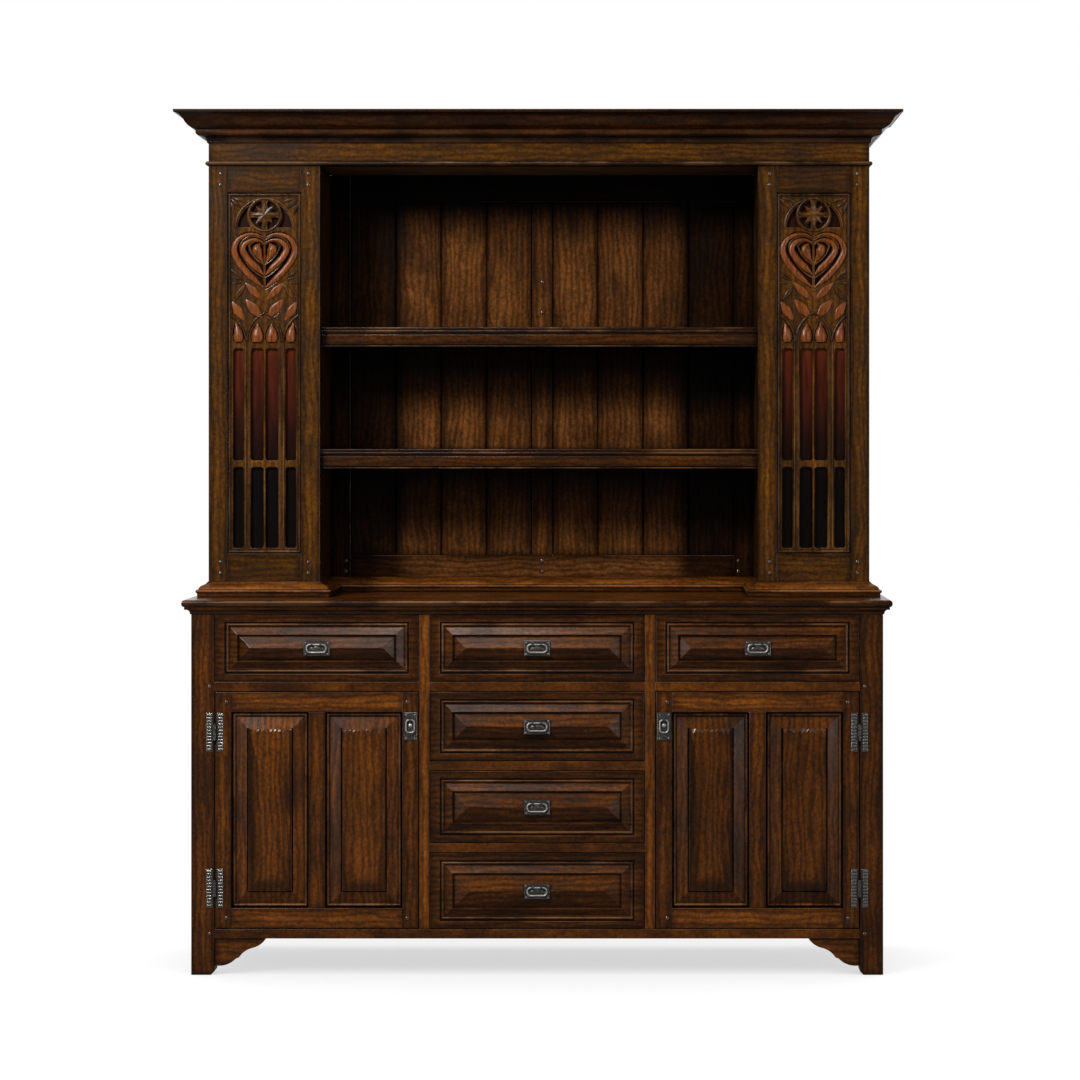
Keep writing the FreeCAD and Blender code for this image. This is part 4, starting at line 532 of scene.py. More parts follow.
def lay_grain(piece, width, tone=full_tone, field=None):
    """Gives each board its own run of grain along its length, its own tone, with painted shade for some
    pieces, and its worn edges, which also carry a painted highlight. A raised field has a painted light
    middle, given by half its length and half its width, and a darker rim of painted shade."""
    mesh = piece.data
    draw = random.Random(SEED + len(mesh.vertices))
    count = 3 * len(mesh.vertices)
    grain, board, reach = [0.0] * count, [0.0] * count, [0.0] * count
    tint_and_shade = [1.0] * len(mesh.vertices)
    for shell in shells_of(mesh):
        low, top = corners_of(mesh, shell)
        order = sorted(range(3), key=lambda axis: low[axis] - top[axis])
        shift = [draw.uniform(0, GRAIN_SHIFT) for axis in range(3)]
        middle = low.lerp(top, 0.5)
        shade = draw.uniform(*BOARD_TINTS) * tone(middle)
        sides = [(top[axis] - low[axis]) / 2 for axis in order]
        for index in shell:
            place = mesh.vertices[index].co
            tint_and_shade[index] = shade
            on_lit_field = field and place.y < low.y + FIELD_STEP / 2
            for at, axis in enumerate(order):
                grain[3 * index + at] = place[axis] + shift[at]
                board[3 * index + at] = place[axis] - middle[axis]
                reach[3 * index + at] = field[at] if on_lit_field and at < 2 else sides[at]
    for name, values in (("grain", grain), ("board", board), ("reach", reach)):
        mesh.attributes.new(name, "FLOAT_VECTOR", "POINT").data.foreach_set("vector", values)
    mesh.attributes.new("tint_and_shade", "FLOAT", "POINT").data.foreach_set("value", tint_and_shade)
    worn = []
    for face in mesh.polygons:
        corners = [mesh.vertices[index].co for index in face.vertices]
        longest = max((a - b).length for a, b in zip(corners, corners[1:] + corners[:1]))
        worn.append(1.0 if face.area < EDGE_SHARE * width * longest else 0.0)
    mesh.attributes.new("worn", "FLOAT", "FACE").data.foreach_set("value", worn)


def modify(piece, kind, **settings):
    """Adds a modifier to the active piece and applies it."""
    bpy.ops.object.modifier_add(type=kind)
    modifier = piece.modifiers[-1]
    for name, value in settings.items():
        setattr(modifier, name, value)
    bpy.ops.object.modifier_apply(modifier=modifier.name)


def smooth(piece):
    """Smooth shading that keeps flat faces flat and sharp corners sharp."""
    select_only(piece)
    bpy.ops.object.shade_smooth_by_angle(angle=SMOOTH_ANGLE)
    modify(piece, "WEIGHTED_NORMAL", keep_sharp=True)


def settle(piece, body, slot, material, *nodes):
    """Gives a finished piece its finish and its body, in place of the nodes that it stands for."""
    piece.data.materials.clear()
    piece.data.materials.append(MATERIALS[material])
    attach(piece, body)
    if nodes:
        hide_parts(*nodes)


def slot_of(node):
    """The material slot that the record gives a node."""
    return next(part["material_slot"] for part in frame["record"]["subparts"] if part["node"] == node)


def body_of(node):
    """The body that a node rides on."""
    return frame["nodes"][node]["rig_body"]


DRAWERS = ("top_left", "top_centre", "top_right", "centre_upper", "centre_middle", "centre_lower")
SIDES = ("left", "right")
# How light a piece's boards are stained next to the others; the right door's panels are darker than the
# left's, which is painted shade
TONES = {
    "front_legs": 0.8,
    "face_frame": 2.3,
    "left_door_panels": 1.0,
    "right_door_panels": 0.74,
    "counter_top": 0.85,
    "cornice": 0.6,
    "frieze": 0.68,
    "hutch_shelves": 0.65,
    "hutch_base_mouldings": 1.9,
    "back_boards": 1.05,
    "back_frame": 1.05,
}
TONES.update((f"{name}_drawer_front", 0.8) for name in DRAWERS)
DOOR_RAIL_TONE, DOOR_STILE_TONE = 1.6, 1.02
# The inner walls' tone is painted shade
PILLAR_RAIL_TONE, INNER_WALL_SHADE = 0.75, 0.5
# Height of a door's middle, and the distance from it past which a board is a rail
DOOR_MIDDLE, RAIL_DISTANCE = 0.412, 0.2
# Distance of a pillar's middle from the hutch's, and how near to it the middle of a rail is
PILLAR_MIDDLE, RAIL_OFFSET = 0.7, 0.03


def door_tone(middle):
    """A door's rails are stained lighter than its stiles."""
    return DOOR_RAIL_TONE if abs(middle.z - DOOR_MIDDLE) > RAIL_DISTANCE else DOOR_STILE_TONE


def pillar_tone(middle):
    """A pillar's rails are stained a little darker than its stiles."""
    return PILLAR_RAIL_TONE if abs(abs(middle.x) - PILLAR_MIDDLE) < RAIL_OFFSET else 1.0


def wall_painted_shade(middle):
    """Painted shade makes the walls beside the shelves nearly black."""
    return INNER_WALL_SHADE if abs(middle.x) < PILLAR_MIDDLE else 1.0


def wooden(
    node, material=None, width=None, segments=2, chosen=None, tone=None, shape=None, field=None
):
    """Works one node's boards: eased edges, grain along each board, and stain."""
    sizes = bpy.context.scene.hutch_sizes
    width = width or sizes.edge
    piece = welded_copy(node, f"{node}_wood")
    if shape:
        shape(piece)
    ease_edges(piece, width, segments, chosen)
    lay_grain(piece, width, tone or (lambda middle: TONES.get(node, 1.0)), field)
    smooth(piece)
    settle(piece, body_of(node), slot_of(node), material or slot_of(node), node)


def forged(node):
    """Works one node's iron: rounded edges and a hammered face."""
    piece = welded_copy(node, f"{node}_forged")
    width = bpy.context.scene.hutch_sizes.iron_edge
    ease_edges(piece, width)
    lay_grain(piece, width)
    smooth(piece)
    settle(piece, body_of(node), slot_of(node), "forged_iron", node)


def new_piece(name):
    """Takes the active new object on as a piece."""
    piece = bpy.context.object
    piece.name = name
    piece.data.name = name
    return piece


def apply_all(piece):
    """Moves what was set on the object into its mesh, so that it stands at the origin."""
    select_only(piece)
    bpy.ops.object.transform_apply(location=True, rotation=True, scale=True)


def joined(pieces, name):
    """Makes one piece of several."""
    bpy.ops.object.select_all(action="DESELECT")
    for piece in pieces:
        piece.select_set(True)
    bpy.context.view_layer.objects.active = pieces[0]
    bpy.ops.object.join()
    return new_piece(name)


def copied(piece, name, shift):
    """A copy with a mesh of its own, moved by a shift."""
    select_only(piece)
    bpy.ops.object.duplicate(linked=False)
    twin = new_piece(name)
    twin.location = Vector(shift)
    apply_all(twin)
    return twin


def dome(name, radius, rise, across=1.0):
    """A round or oval boss that bulges to the front from a face at the origin."""
    bpy.ops.object.select_all(action="DESELECT")
    bpy.ops.mesh.primitive_uv_sphere_add(segments=20, ring_count=12, radius=1.0)
    piece = new_piece(name)
    piece.scale = (radius * across, rise, radius)
    apply_all(piece)
    cut_back(piece, BOSS_ROOT * rise)
    bpy.ops.object.shade_smooth()
    return piece


def cut_back(piece, depth):
    """Cuts off what lies behind a depth, where the piece sits in wood or iron, and closes the cut."""
    open_all(piece)
    bpy.ops.mesh.bisect(
        plane_co=(0.0, depth, 0.0), plane_no=(0.0, 1.0, 0.0), use_fill=True, clear_outer=True
    )
    bpy.ops.object.mode_set(mode="OBJECT")


def bar(name, size, width):
    """A straight bar from the origin to its size, with rounded edges."""
    bpy.ops.object.select_all(action="DESELECT")
    bpy.ops.mesh.primitive_cube_add(size=1.0)
    piece = new_piece(name)
    piece.location = Vector(size) / 2
    piece.scale = size
    apply_all(piece)
    modify(piece, "BEVEL", width=width, segments=2)
    return piece


class HUTCH_OT_materials(bpy.types.Operator):
    """Make the oak, iron and infill finishes."""

    bl_idname = "hutch.materials"
    bl_label = "Finishes"

    def execute(self, context):
        make_materials()
        return {"FINISHED"}


class HUTCH_OT_base(bpy.types.Operator):
    """Work the legs, rails, sides and inside boards of the base."""

    bl_idname = "hutch.base"
    bl_label = "Base"

    def execute(self, context):
        for node in (
            "front_legs", "back_legs", "face_frame", "base_sides", "foot_brackets",
            "base_floor", "partitions", "base_back", "drawer_runners", "cupboard_shelves",
        ):
            wooden(node)
        return {"FINISHED"}


class HUTCH_OT_counter(bpy.types.Operator):
    """Work the counter and the cove under it."""

    bl_idname = "hutch.counter"
    bl_label = "Counter"

    def execute(self, context):
        wooden("counter_top")
        wooden("counter_moulding")
        return {"FINISHED"}


class HUTCH_OT_drawers(bpy.types.Operator):
    """Work the six drawers."""

    bl_idname = "hutch.drawers"
    bl_label = "Drawers"

    def execute(self, context):
        for name in DRAWERS:
            wooden(f"{name}_drawer_front")
            wooden(f"{name}_drawer_box")
        return {"FINISHED"}


# An edge shorter than this is no side of a door's field
SHORT_SIDE = 0.05
# How often a field's top edge is cut for gouge marks, and the shares of full depth that they have
GOUGE_CUTS = 19
DEEP_MARKS, SHALLOW_MARKS = (0.4, 1.0), (0.1, 0.35)


def carve_fields(piece):
    """Cuts a quirk round each raised field, and uneven gouge marks into its top edge."""
    draw = random.Random(SEED)
    sizes = bpy.context.scene.hutch_sizes
    mesh = open_edges(piece)
    front = min(vert.co.y for vert in mesh.verts)
    foot = front + FIELD_STEP
    level = max(vert.co.z for vert in mesh.verts if vert.co.y < front + NEAR)
    for edge in mesh.edges:
        at_foot = all(abs(vert.co.y - foot) < NEAR for vert in edge.verts)
        on_top = all(vert.co.z > level - NEAR for vert in edge.verts)
        inner_side = not edge.is_convex and edge.calc_length() > SHORT_SIDE
        edge.select_set(at_foot and not on_top and inner_side)
    bmesh.update_edit_mesh(piece.data)
    bpy.ops.mesh.bevel(offset=sizes.quirk, segments=2, profile=0.5, affect="EDGES", clamp_overlap=False)
    mesh = bmesh.from_edit_mesh(piece.data)
    # The middle of the rounded foot is pushed in and becomes the quirk
    for vert in mesh.verts:
        if foot - 0.6 * sizes.quirk < vert.co.y < foot - 0.1 * sizes.quirk:
            vert.co.y += 2 * sizes.quirk
    bmesh.update_edit_mesh(piece.data)
    bpy.ops.mesh.select_all(action="DESELECT")
    mesh = bmesh.from_edit_mesh(piece.data)
    ends = []
    for face in mesh.faces:
        corners = [vert.co for vert in face.verts]
        if face.normal.z > STEEP and min(corner.y for corner in corners) < front + NEAR:
            ends.append((min(corner.x for corner in corners), max(corner.x for corner in corners)))
            for edge in face.edges:
                if edge.calc_length() > SHORT_SIDE:
                    edge.select_set(True)
    if len(ends) != 2:
        raise RuntimeError(f"{piece.name} has {len(ends)} fields")
    bmesh.update_edit_mesh(piece.data)
    bpy.ops.mesh.subdivide(number_cuts=GOUGE_CUTS)
    mesh = bmesh.from_edit_mesh(piece.data)
    inner = [
        vert for vert in mesh.verts
        if abs(vert.co.y - front) < NEAR and abs(vert.co.z - level) < NEAR
        and any(left + 10 * NEAR < vert.co.x < right - 10 * NEAR for left, right in ends)
    ]
    for number, vert in enumerate(sorted(inner, key=lambda vert: vert.co.x)):
        deep = draw.uniform(*(DEEP_MARKS if number % 2 else SHALLOW_MARKS))
        vert.co.z -= sizes.gouge * deep
        vert.co.y += 0.5 * FIELD_STEP * deep
    bmesh.update_edit_mesh(piece.data)
    bpy.ops.object.mode_set(mode="OBJECT")


class HUTCH_OT_doors(bpy.types.Operator):
    """Work the two doors with their raised panels."""

    bl_idname = "hutch.doors"
    bl_label = "Doors"

    def execute(self, context):
        for side in SIDES:
            wooden(f"{side}_door_frame", tone=door_tone)
            wooden(f"{side}_door_panels", shape=carve_fields, field=FIELD_LIT_HALVES)
        return {"FINISHED"}


def is_upright(edge):
    """Whether an edge runs up along a board."""
    first, second = edge.verts
    return abs(first.co.z - second.co.z) > STEEP * edge.calc_length()


class HUTCH_OT_upper(bpy.types.Operator):
    """Work the pillars, shelves, back and mouldings of the upper part."""

    bl_idname = "hutch.upper"
    bl_label = "Upper part"

    def execute(self, context):
        wooden("pillar_frames", tone=pillar_tone)
        wooden("frieze")
        wooden("pillar_walls", tone=wall_painted_shade)
        for node in ("hutch_shelves", "hutch_base_mouldings", "cornice", "hutch_top"):
            wooden(node)
        wooden("back_frame", "back_oak_painted_shade")
        wooden("back_boards", "back_oak_painted_shade", context.scene.hutch_sizes.board_joint, 1, is_upright)
        return {"FINISHED"}


def is_pierced_edge(edge):
    """Whether an edge is where an opening breaks through the front of the panel."""
    fronts = sorted(face.normal.y for face in edge.link_faces)
    return fronts[0] < -0.98 and abs(fronts[1]) < 0.2


# Carving of one half of a panel, in millimetres from the middle of its foot: ribs over the lights by
# the points they run through, leaves by their two tips and their width, and strands by the points of
# their middle line, each with half the strand's width
RIB_LINES = (
    ((46, 541), (39, 572), (22, 598), (0, 614)),
    ((46, 541), (55, 572), (70, 594), (86, 608)),
)
LEAVES = (
    ((82, 640), (46, 690), 15),
    ((56, 700), (87, 726), 8),
    ((52, 697), (87, 707), 7),
    ((58, 690), (87, 690), 7),
    ((86, 905), (58, 880), 10),
    ((87, 898), (74, 862), 8),
    ((78, 907), (46, 896), 8),
)
STAINED_LEAVES = (
    ((7, 600), (48, 648), 29),
    ((52, 594), (83, 643), 25),
    ((5, 647), (50, 691), 23),
)
STRANDS = (
    # Outer and middle strand and drop of the heart
    (
        (3.0, 679, 2.0), (27, 699, 8.0), (53, 726, 9.2), (70, 750, 9.4), (78, 774, 8.8),
        (70, 797, 7.4), (56, 808.6, 5.5), (27, 814.5, 4.0), (3.0, 807, 1.5),
    ),
    (
        (3.0, 711, 2.0), (16.6, 725.6, 7.6), (34, 741.6, 9.0), (48.7, 759.3, 9.2),
        (55.6, 777.6, 8.0), (43.7, 794.7, 6.0), (23, 800.3, 4.0), (3.0, 794, 1.5),
    ),
    (
        (3.0, 740, 1.5), (9.5, 752, 5.5), (16.5, 765, 11.0), (19, 776, 13.0), (16, 785, 8.0),
        (12, 790, 2.0),
    ),
    # Drops in the pointed heads
    ((18.7, 540, 13.5), (18.7, 547, 15.8), (18.5, 560, 15.0), (18, 573, 10.0), (17.5, 587, 2.0)),
    ((66.5, 540, 10.5), (66.5, 547, 13.0), (67, 560, 12.4), (69.5, 573, 8.5), (73, 587, 2.0)),
)
# How deep a strand is next to its width
STRAND_FLATNESS = 0.55
# Height of the rosette's middle, reach of a long point of its star, a hollow, a short point and the
# next hollow, and the star's rise and thickness, in millimetres
STAR_HEIGHT = 864.0
STAR_REACH = (37.0, 15.5, 32.0, 15.5)
STAR_RISE = 2.0
STAR_THICKNESS = 2.6
# Rise of a leaf, and how far behind the face it is cut off, in millimetres
LEAF_RISE = 3.6
LEAF_ROOT = 1.0


def leaves(name, rows):
    """Long rounded leaves on the face of the panel, each between two tips, copied from one leaf."""
    bpy.ops.object.select_all(action="DESELECT")
    bpy.ops.mesh.primitive_uv_sphere_add(
        segments=16, ring_count=10, radius=1.0, rotation=(0.0, math.pi / 2, 0.0)
    )
    first = new_piece(name)
    apply_all(first)
    for vert in first.data.vertices:
        # Pointed tips, and a groove along the middle
        vert.co.z *= 1.0 - 0.5 * abs(vert.co.x)
        vert.co.y *= 0.55 + 0.9 * min(abs(vert.co.z), 0.5)
    bpy.ops.object.shade_smooth()
    pieces = []
    for number, (start, finish, width) in enumerate(rows):
        way = Vector(finish) - Vector(start)
        piece = copied(first, f"{name}_{number}", (0.0, 0.0, 0.0))
        piece.scale = (way.length / 2, LEAF_RISE, width / 2)
        piece.rotation_euler = (0.0, -math.atan2(way.y, way.x), 0.0)
        piece.location = ((start[0] + finish[0]) / 2, 0.0, (start[1] + finish[1]) / 2)
        apply_all(piece)
        cut_back(piece, LEAF_ROOT)
        pieces.append(piece)
    bpy.data.objects.remove(first)
    return pieces


def strand(name, points, flatness=1.0):
    """A round strand in the face of the panel that runs smoothly through points with half widths."""
    bpy.ops.object.select_all(action="DESELECT")
    bpy.ops.curve.primitive_bezier_curve_add()
    line = bpy.context.object.data
    spline = line.splines[0]
    spline.bezier_points.add(len(points) - len(spline.bezier_points))
    spline.radius_interpolation = "CARDINAL"
    for point, (across, high, half_width) in zip(spline.bezier_points, points):
        point.co = (across, 0.0, high)
        point.radius = half_width
        point.handle_left_type = "AUTO"
        point.handle_right_type = "AUTO"
    line.dimensions = "3D"
    line.resolution_u = 8
    line.bevel_depth = 1.0
    line.bevel_resolution = 4
    line.use_fill_caps = True
    bpy.ops.object.convert(target="MESH")
    piece = new_piece(name)
    piece.scale = (1.0, flatness, 1.0)
    apply_all(piece)
    bpy.ops.object.shade_smooth()
    return piece


def star(name):
    """A star of four long and four short points, with ridges from its middle to its points."""
    bpy.ops.object.select_all(action="DESELECT")
    bpy.ops.mesh.primitive_circle_add(
        vertices=16, radius=1.0, fill_type="TRIFAN", rotation=(math.pi / 2, 0.0, 0.0)
    )
    piece = new_piece(name)
    apply_all(piece)
    for vert in piece.data.vertices:
        if vert.co.length < 0.5:
            vert.co.y = -STAR_RISE
        else:
            step = round(math.atan2(vert.co.z, vert.co.x) / (math.pi / 8))
            vert.co *= STAR_REACH[step % len(STAR_REACH)]
    open_all(piece)
    bpy.ops.mesh.extrude_region_move(TRANSFORM_OT_translate={"value": (0.0, STAR_THICKNESS, 0.0)})
    bpy.ops.object.mode_set(mode="OBJECT")
    piece.location = Vector((0.0, -STAR_THICKNESS / 2, STAR_HEIGHT)) * MM
    piece.scale = (MM, MM, MM)
    apply_all(piece)
    return piece


def on_both_panels(pieces, name, middle_piece=None):
    """Joins the carving of half a panel, and mirrors it to the other half and to the other panel."""
    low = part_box("tracery_panels")[0]
    half = joined(pieces, name)
    half.scale = (MM, MM, MM)
    apply_all(half)
    modify(half, "MIRROR")
    if middle_piece:
        half = joined([half, middle_piece], name)
    face = low.y + ARCH_RISE
    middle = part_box("tracery_backings")[1].x - PANEL_WIDTH / 2
    twin = copied(half, f"{name}_left", (-middle, face, low.z))
    half.location = (middle, face, low.z)
    apply_all(half)
    whole = joined([half, twin], name)
    open_all(whole)
    bpy.ops.mesh.normals_make_consistent(inside=False)
    bpy.ops.object.mode_set(mode="OBJECT")
    return whole


def carve_ribs():
    """The brown carving: ribs over the lights and fans of leaves in the corners."""
    thick = bpy.context.scene.hutch_sizes.rib / MM / 2
    lines = [[(*point, thick) for point in points] for points in RIB_LINES]
    pieces = [strand(f"rib_{number}", points) for number, points in enumerate(lines)]
    pieces += leaves("leaf", LEAVES)
    return on_both_panels(pieces, "tracery_carving", star("star"))


def carve_strands():
    """The stained carving: strands of the heart, leaves under it and drops in the pointed heads."""
    pieces = [strand(f"strand_{number}", row, STRAND_FLATNESS) for number, row in enumerate(STRANDS)]
    pieces += leaves("stained_leaf", STAINED_LEAVES)
    return on_both_panels(pieces, "tracery_strands")


class HUTCH_OT_tracery(bpy.types.Operator):
    """Carve the tracery and stain the panels behind it."""

    bl_idname = "hutch.tracery"
    bl_label = "Tracery"

    def execute(self, context):
        sizes = context.scene.hutch_sizes
        piece = welded_copy("tracery_panels", "tracery_panels_carved")
        ease_edges(piece, sizes.carving, 3, is_pierced_edge, join_flat=False)
        lay_grain(piece, sizes.carving)
        smooth(piece)
        settle(piece, "carcass", slot_of("tracery_panels"), "golden_oak", "tracery_panels")
        carving = carve_ribs()
        lay_grain(carving, sizes.carving)
        settle(carving, "carcass", slot_of("tracery_panels"), "golden_oak")
        settle(carve_strands(), "carcass", "stained_infill", "stained_carving")
        backings = frame["nodes"]["tracery_backings"].data
        backings.materials.clear()
        backings.materials.append(MATERIALS["stained_infill"])
        return {"FINISHED"}


PLATE_THICKNESS = 0.0025
SCREW_RADIUS = 0.0017
SCREW_RISE = 0.001
BOSS_RISE = 0.0022
# Radius of a boss, its drop from the top of the plate, and how far the screws are in from the edges
PULL_BOSS_RADIUS, PULL_BOSS_DROP, PULL_SCREW_INSET = 0.0075, 0.0205, 0.0043
RING_BOSS_RADIUS, RING_BOSS_DROP, RING_SCREW_INSET = 0.0050, 0.0320, 0.0053
# How much wider than high the oval boss of a pull is
PULL_BOSS_STRETCH = 2.2


def plate_ornament(node, boss, drop, screw, inset):
    """A boss under the loop of a plate, and a screw in each corner."""
    low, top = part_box(node)
    face = top.y - PLATE_THICKNESS
    pieces = [copied(boss, f"{node}_boss", ((low.x + top.x) / 2, face, top.z - drop))]
    for x in (low.x + inset, top.x - inset):
        for z in (low.z + inset, top.z - inset):
            pieces.append(copied(screw, f"{node}_screw", (x, face, z)))
    piece = joined(pieces, f"{node}_ornament")
    lay_grain(piece, SCREW_RADIUS)
    settle(piece, body_of(node), "forged_iron", "forged_iron")


# Ribs on a hinge leaf: how many, and their distance, drawn coarser than real ones so that they show
HINGE_RIBS = 12
HINGE_RIB_STEP = 0.0078
# Size of one rib, its rounded edge, and how far it stands out over the leaf
HINGE_RIB = (0.0115, 0.0026, 0.0040)
HINGE_RIB_EDGE = 0.0008
HINGE_RIB_PROUD = 0.0016
# How far the ribs are in from a leaf's left and right side, over the foot of the lower hinges, and how
# far the last step of the upper hinges passes their head
HINGE_LEFT_INSET, HINGE_RIGHT_INSET = 0.0015, 0.0005
HINGE_FOOT_INSET, HINGE_HEAD_PASS = 0.0031, 0.0007


def rib_hinges():
    """Fine ribs across the outer part of every hinge leaf."""
    low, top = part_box("hinge_frame_leaves")
    door_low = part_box("right_door_hinge_leaves")[0]
    face = top.y - PLATE_THICKNESS - HINGE_RIB_PROUD
    first = bar("hinge_rib", HINGE_RIB, HINGE_RIB_EDGE)
    modify(
        first,
        "ARRAY",
        count=HINGE_RIBS,
        use_relative_offset=False,
        use_constant_offset=True,
        constant_offset_displace=(0.0, 0.0, HINGE_RIB_STEP),
    )
    # The lowest rib of the lower and of the upper hinges
    levels = (low.z + HINGE_FOOT_INSET, top.z - HINGE_RIBS * HINGE_RIB_STEP + HINGE_HEAD_PASS)
    from_right = HINGE_RIGHT_INSET + HINGE_RIB[0]
    rows = {
        "carcass": [
            (x, level) for x in (top.x - from_right, low.x + HINGE_LEFT_INSET) for level in levels
        ],
        "right_door": [(door_low.x + HINGE_LEFT_INSET, level) for level in levels],
        "left_door": [(-door_low.x - from_right, level) for level in levels],
    }
    for body, places in rows.items():
        copies = [copied(first, "hinge_rib_row", (x, face, z)) for x, z in places]
        piece = joined(copies, f"{body}_hinge_ribs")
        lay_grain(piece, HINGE_RIB_EDGE)
        settle(piece, body, "forged_iron", "forged_iron")
    bpy.data.objects.remove(first)


class HUTCH_OT_ironwork(bpy.types.Operator):
    """Forge the hinges, plates, bails and rings."""

    bl_idname = "hutch.ironwork"
    bl_label = "Ironwork"

    def execute(self, context):
        nodes = ["hinge_frame_leaves", "door_catches"]
        for side in SIDES:
            nodes += [f"{side}_door_hinge_leaves", f"{side}_door_ring_plate", f"{side}_door_ring"]
        for name in DRAWERS:
            nodes += [f"{name}_pull_plate", f"{name}_pull_bail"]
        for node in nodes:
            forged(node)
        screw = dome("screw", SCREW_RADIUS, SCREW_RISE)
        pull_boss = dome("pull_boss", PULL_BOSS_RADIUS, BOSS_RISE, PULL_BOSS_STRETCH)
        ring_boss = dome("ring_boss", RING_BOSS_RADIUS, BOSS_RISE)
        for name in DRAWERS:
            plate_ornament(f"{name}_pull_plate", pull_boss, PULL_BOSS_DROP, screw, PULL_SCREW_INSET)
        for side in SIDES:
            plate_ornament(f"{side}_door_ring_plate", ring_boss, RING_BOSS_DROP, screw, RING_SCREW_INSET)
        for model in (screw, pull_boss, ring_boss):
            bpy.data.objects.remove(model)
        rib_hinges()
        return {"FINISHED"}


# A solid whose diagonal is shorter than this is a peg
PEG_DIAGONAL = 0.03


def peg_places(node):
    """The middle of the front end of each peg in a node."""
    copy = welded_copy(node, "peg_search")
    places = []
    for shell in shells_of(copy.data):
        low, top = corners_of(copy.data, shell)
        if (top - low).length < PEG_DIAGONAL:
            places.append(((low.x + top.x) / 2, low.y, (low.z + top.z) / 2))
    bpy.data.objects.remove(copy)
    return places


class HUTCH_OT_pegs(bpy.types.Operator):
    """Round and polish the pegs."""

    bl_idname = "hutch.pegs"
    bl_label = "Pegs"

    def execute(self, context):
        sizes = context.scene.hutch_sizes
        first = dome("peg_end", sizes.peg_radius, sizes.peg_rise)
        for node, body in (
            ("joint_pegs", "carcass"),
            ("left_door_frame", "left_door"),
            ("right_door_frame", "right_door"),
        ):
            ends = [copied(first, f"{node}_end", place) for place in peg_places(node)]
            piece = joined(ends, f"{node}_peg_ends")
            settle(piece, body, "peg_oak", "peg_oak")
        bpy.data.objects.remove(first)
        polished = welded_copy("joint_pegs", "joint_pegs_polished")
        smooth(polished)
        settle(polished, "carcass", "peg_oak", "peg_oak", "joint_pegs")
        return {"FINISHED"}


WHITE = linear("#FFFFFF")
FLOOR_GREY = linear("#616161")
FLOOR_SIZE = 60.0


def make_floor():
    """A pale matt floor with a painted shadow under the hutch, besides the real shadow on its matt part."""
    bpy.ops.object.select_all(action="DESELECT")
    bpy.ops.mesh.primitive_plane_add(size=FLOOR_SIZE)
    floor = bpy.context.object
    floor.name = "floor"
    tree, shader = new_material("pale_floor")
    # Seen by the camera the floor glows white and greys under the hutch, a painted shadow; its light on the
    # hutch is dim
    open_sky = add(tree, "ShaderNodeAmbientOcclusion", {"Distance": 0.9}, out="AO", samples=8)
    seen_glow_painted_shadow = add(tree, "ShaderNodeMapRange", (open_sky, 0.1, 0.85, 0.64, 1.0))
    seen = add(tree, "ShaderNodeLightPath", out="Is Camera Ray")
    glow = add(tree, "ShaderNodeMapRange", (seen, 0.0, 1.0, 0.1, seen_glow_painted_shadow))
    links = {"Base Color": FLOOR_GREY, "Roughness": 1.0, "Specular IOR Level": 0.0}
    links |= {"Emission Color": WHITE, "Emission Strength": glow}
    fill(tree, shader, links)
    floor.data.materials.append(MATERIALS["pale_floor"])


def make_world():
    """White behind the hutch, and a dim even light that is stronger from behind."""
    world = bpy.data.worlds.new("studio")
    world.use_nodes = True
    bpy.context.scene.world = world
    tree = world.node_tree
    place = add(tree, "ShaderNodeTexCoord", out="Generated")
    back = add(tree, "ShaderNodeSeparateXYZ", (place,), out="Y")
    behind = add(tree, "ShaderNodeMapRange", (back, -0.1, 0.5), interpolation_type="SMOOTHSTEP")
    ambient = add(tree, "ShaderNodeMapRange", (behind, 0.0, 1.0, 0.06, 0.5))
    seen = add(tree, "ShaderNodeLightPath", out="Is Camera Ray")
    through = add(tree, "ShaderNodeLightPath", out="Is Transmission Ray")
    glossy = add(tree, "ShaderNodeLightPath", out="Is Glossy Ray")
    mirrored = add(tree, "ShaderNodeMath", (glossy, behind), operation="MULTIPLY")
    direct = add(tree, "ShaderNodeMath", (seen, through), operation="MAXIMUM")
    white = add(tree, "ShaderNodeMath", (direct, mirrored), operation="MAXIMUM")
    strength = add(tree, "ShaderNodeMapRange", (white, 0.0, 1.0, ambient, 1.0))
    fill(tree, tree.nodes["Background"], {"Color": WHITE, "Strength": strength})


LIGHTS = (
    # name, place, aim, size and watts
    ("key", (-2.6, -4.4, 3.9), (0.0, -0.2, 1.1), 1.1, 200.0),
    ("fill", (3.2, -4.8, 2.4), (0.0, -0.2, 1.0), 2.4, 40.0),
    ("top", (-0.5, -3.0, 4.5), (0.0, -0.2, 1.0), 0.6, 22.0),
    ("low_left", (-3.2, -4.2, 0.7), (0.0, -0.25, 0.6), 0.5, 16.0),
    ("low_right", (3.6, -4.2, 0.7), (0.0, -0.25, 0.6), 0.5, 14.0),
)


def make_lights():
    """Soft square lights from the front, each turned to its aim."""
    for name, place, aim, width, watts in LIGHTS:
        bpy.ops.object.select_all(action="DESELECT")
        turn = (Vector(aim) - Vector(place)).to_track_quat("-Z", "Y").to_euler()
        bpy.ops.object.light_add(type="AREA", location=place, rotation=turn)
        lamp = bpy.context.object
        lamp.name = f"{name}_light"
        lamp.data.size = width
        lamp.data.energy = watts


# The camera's place, its lens and sensor in millimetres, and how far its picture is shifted
CAMERA_PLACE = (0.232, -8.2315, 1.3275)
CAMERA_LENS, CAMERA_SENSOR = 106.67, 36.0
CAMERA_SHIFT = (-0.0833, -0.0889)


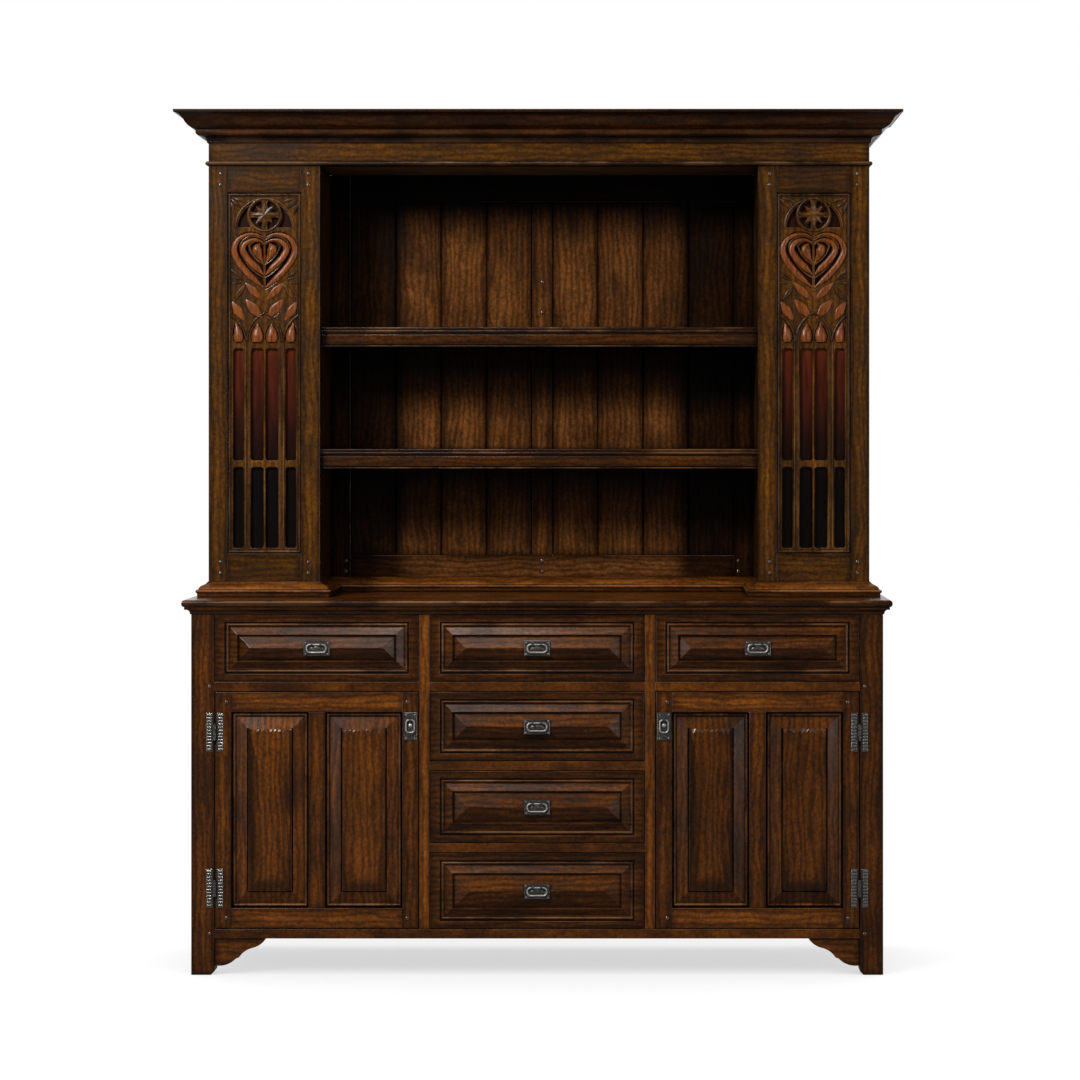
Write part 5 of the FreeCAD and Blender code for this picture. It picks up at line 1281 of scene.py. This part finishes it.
def make_camera():
    """Square on to the front from 8 m, a little right of the middle."""
    bpy.ops.object.select_all(action="DESELECT")
    bpy.ops.object.camera_add(location=CAMERA_PLACE, rotation=(math.pi / 2, 0.0, 0.0))
    camera = bpy.context.object
    camera.name = "camera"
    camera.data.lens = CAMERA_LENS
    camera.data.sensor_width = CAMERA_SENSOR
    camera.data.shift_x, camera.data.shift_y = CAMERA_SHIFT
    bpy.context.scene.camera = camera
    bpy.context.scene.view_settings.view_transform = "Standard"


class HUTCH_OT_stage(bpy.types.Operator):
    """Set up the pale floor, the soft lights, the white surround and the camera."""

    bl_idname = "hutch.stage"
    bl_label = "Stage"

    def execute(self, context):
        make_floor()
        make_world()
        make_lights()
        make_camera()
        return {"FINISHED"}


class HUTCH_PT_panel(bpy.types.Panel):
    """Steps that dress the hutch."""

    bl_idname = "HUTCH_PT_panel"
    bl_label = "Hutch"
    bl_space_type = "VIEW_3D"
    bl_region_type = "UI"
    bl_category = "Hutch"

    def draw(self, context):
        for step in STEPS:
            self.layout.operator(step.bl_idname)
        for group in (context.scene.hutch_colours, context.scene.hutch_sizes):
            for name in group.bl_rna.properties.keys():
                if name not in ("rna_type", "name"):
                    self.layout.prop(group, name)


STEPS = (
    HUTCH_OT_materials,
    HUTCH_OT_base,
    HUTCH_OT_counter,
    HUTCH_OT_drawers,
    HUTCH_OT_doors,
    HUTCH_OT_upper,
    HUTCH_OT_tracery,
    HUTCH_OT_ironwork,
    HUTCH_OT_pegs,
    HUTCH_OT_stage,
)
CLASSES = (HutchColours, HutchSizes, *STEPS, HUTCH_PT_panel)


def register():
    for item in CLASSES:
        bpy.utils.register_class(item)
    bpy.types.Scene.hutch_colours = PointerProperty(type=HutchColours)
    bpy.types.Scene.hutch_sizes = PointerProperty(type=HutchSizes)


def unregister():
    del bpy.types.Scene.hutch_sizes
    del bpy.types.Scene.hutch_colours
    for item in reversed(CLASSES):
        bpy.utils.unregister_class(item)


def main():
    register()
    bpy.ops.hutch.materials()
    bpy.ops.hutch.base()
    bpy.ops.hutch.counter()
    bpy.ops.hutch.drawers()
    bpy.ops.hutch.doors()
    bpy.ops.hutch.upper()
    bpy.ops.hutch.tracery()
    bpy.ops.hutch.ironwork()
    bpy.ops.hutch.pegs()
    bpy.ops.hutch.stage()


if __name__ == "__main__":
    main()
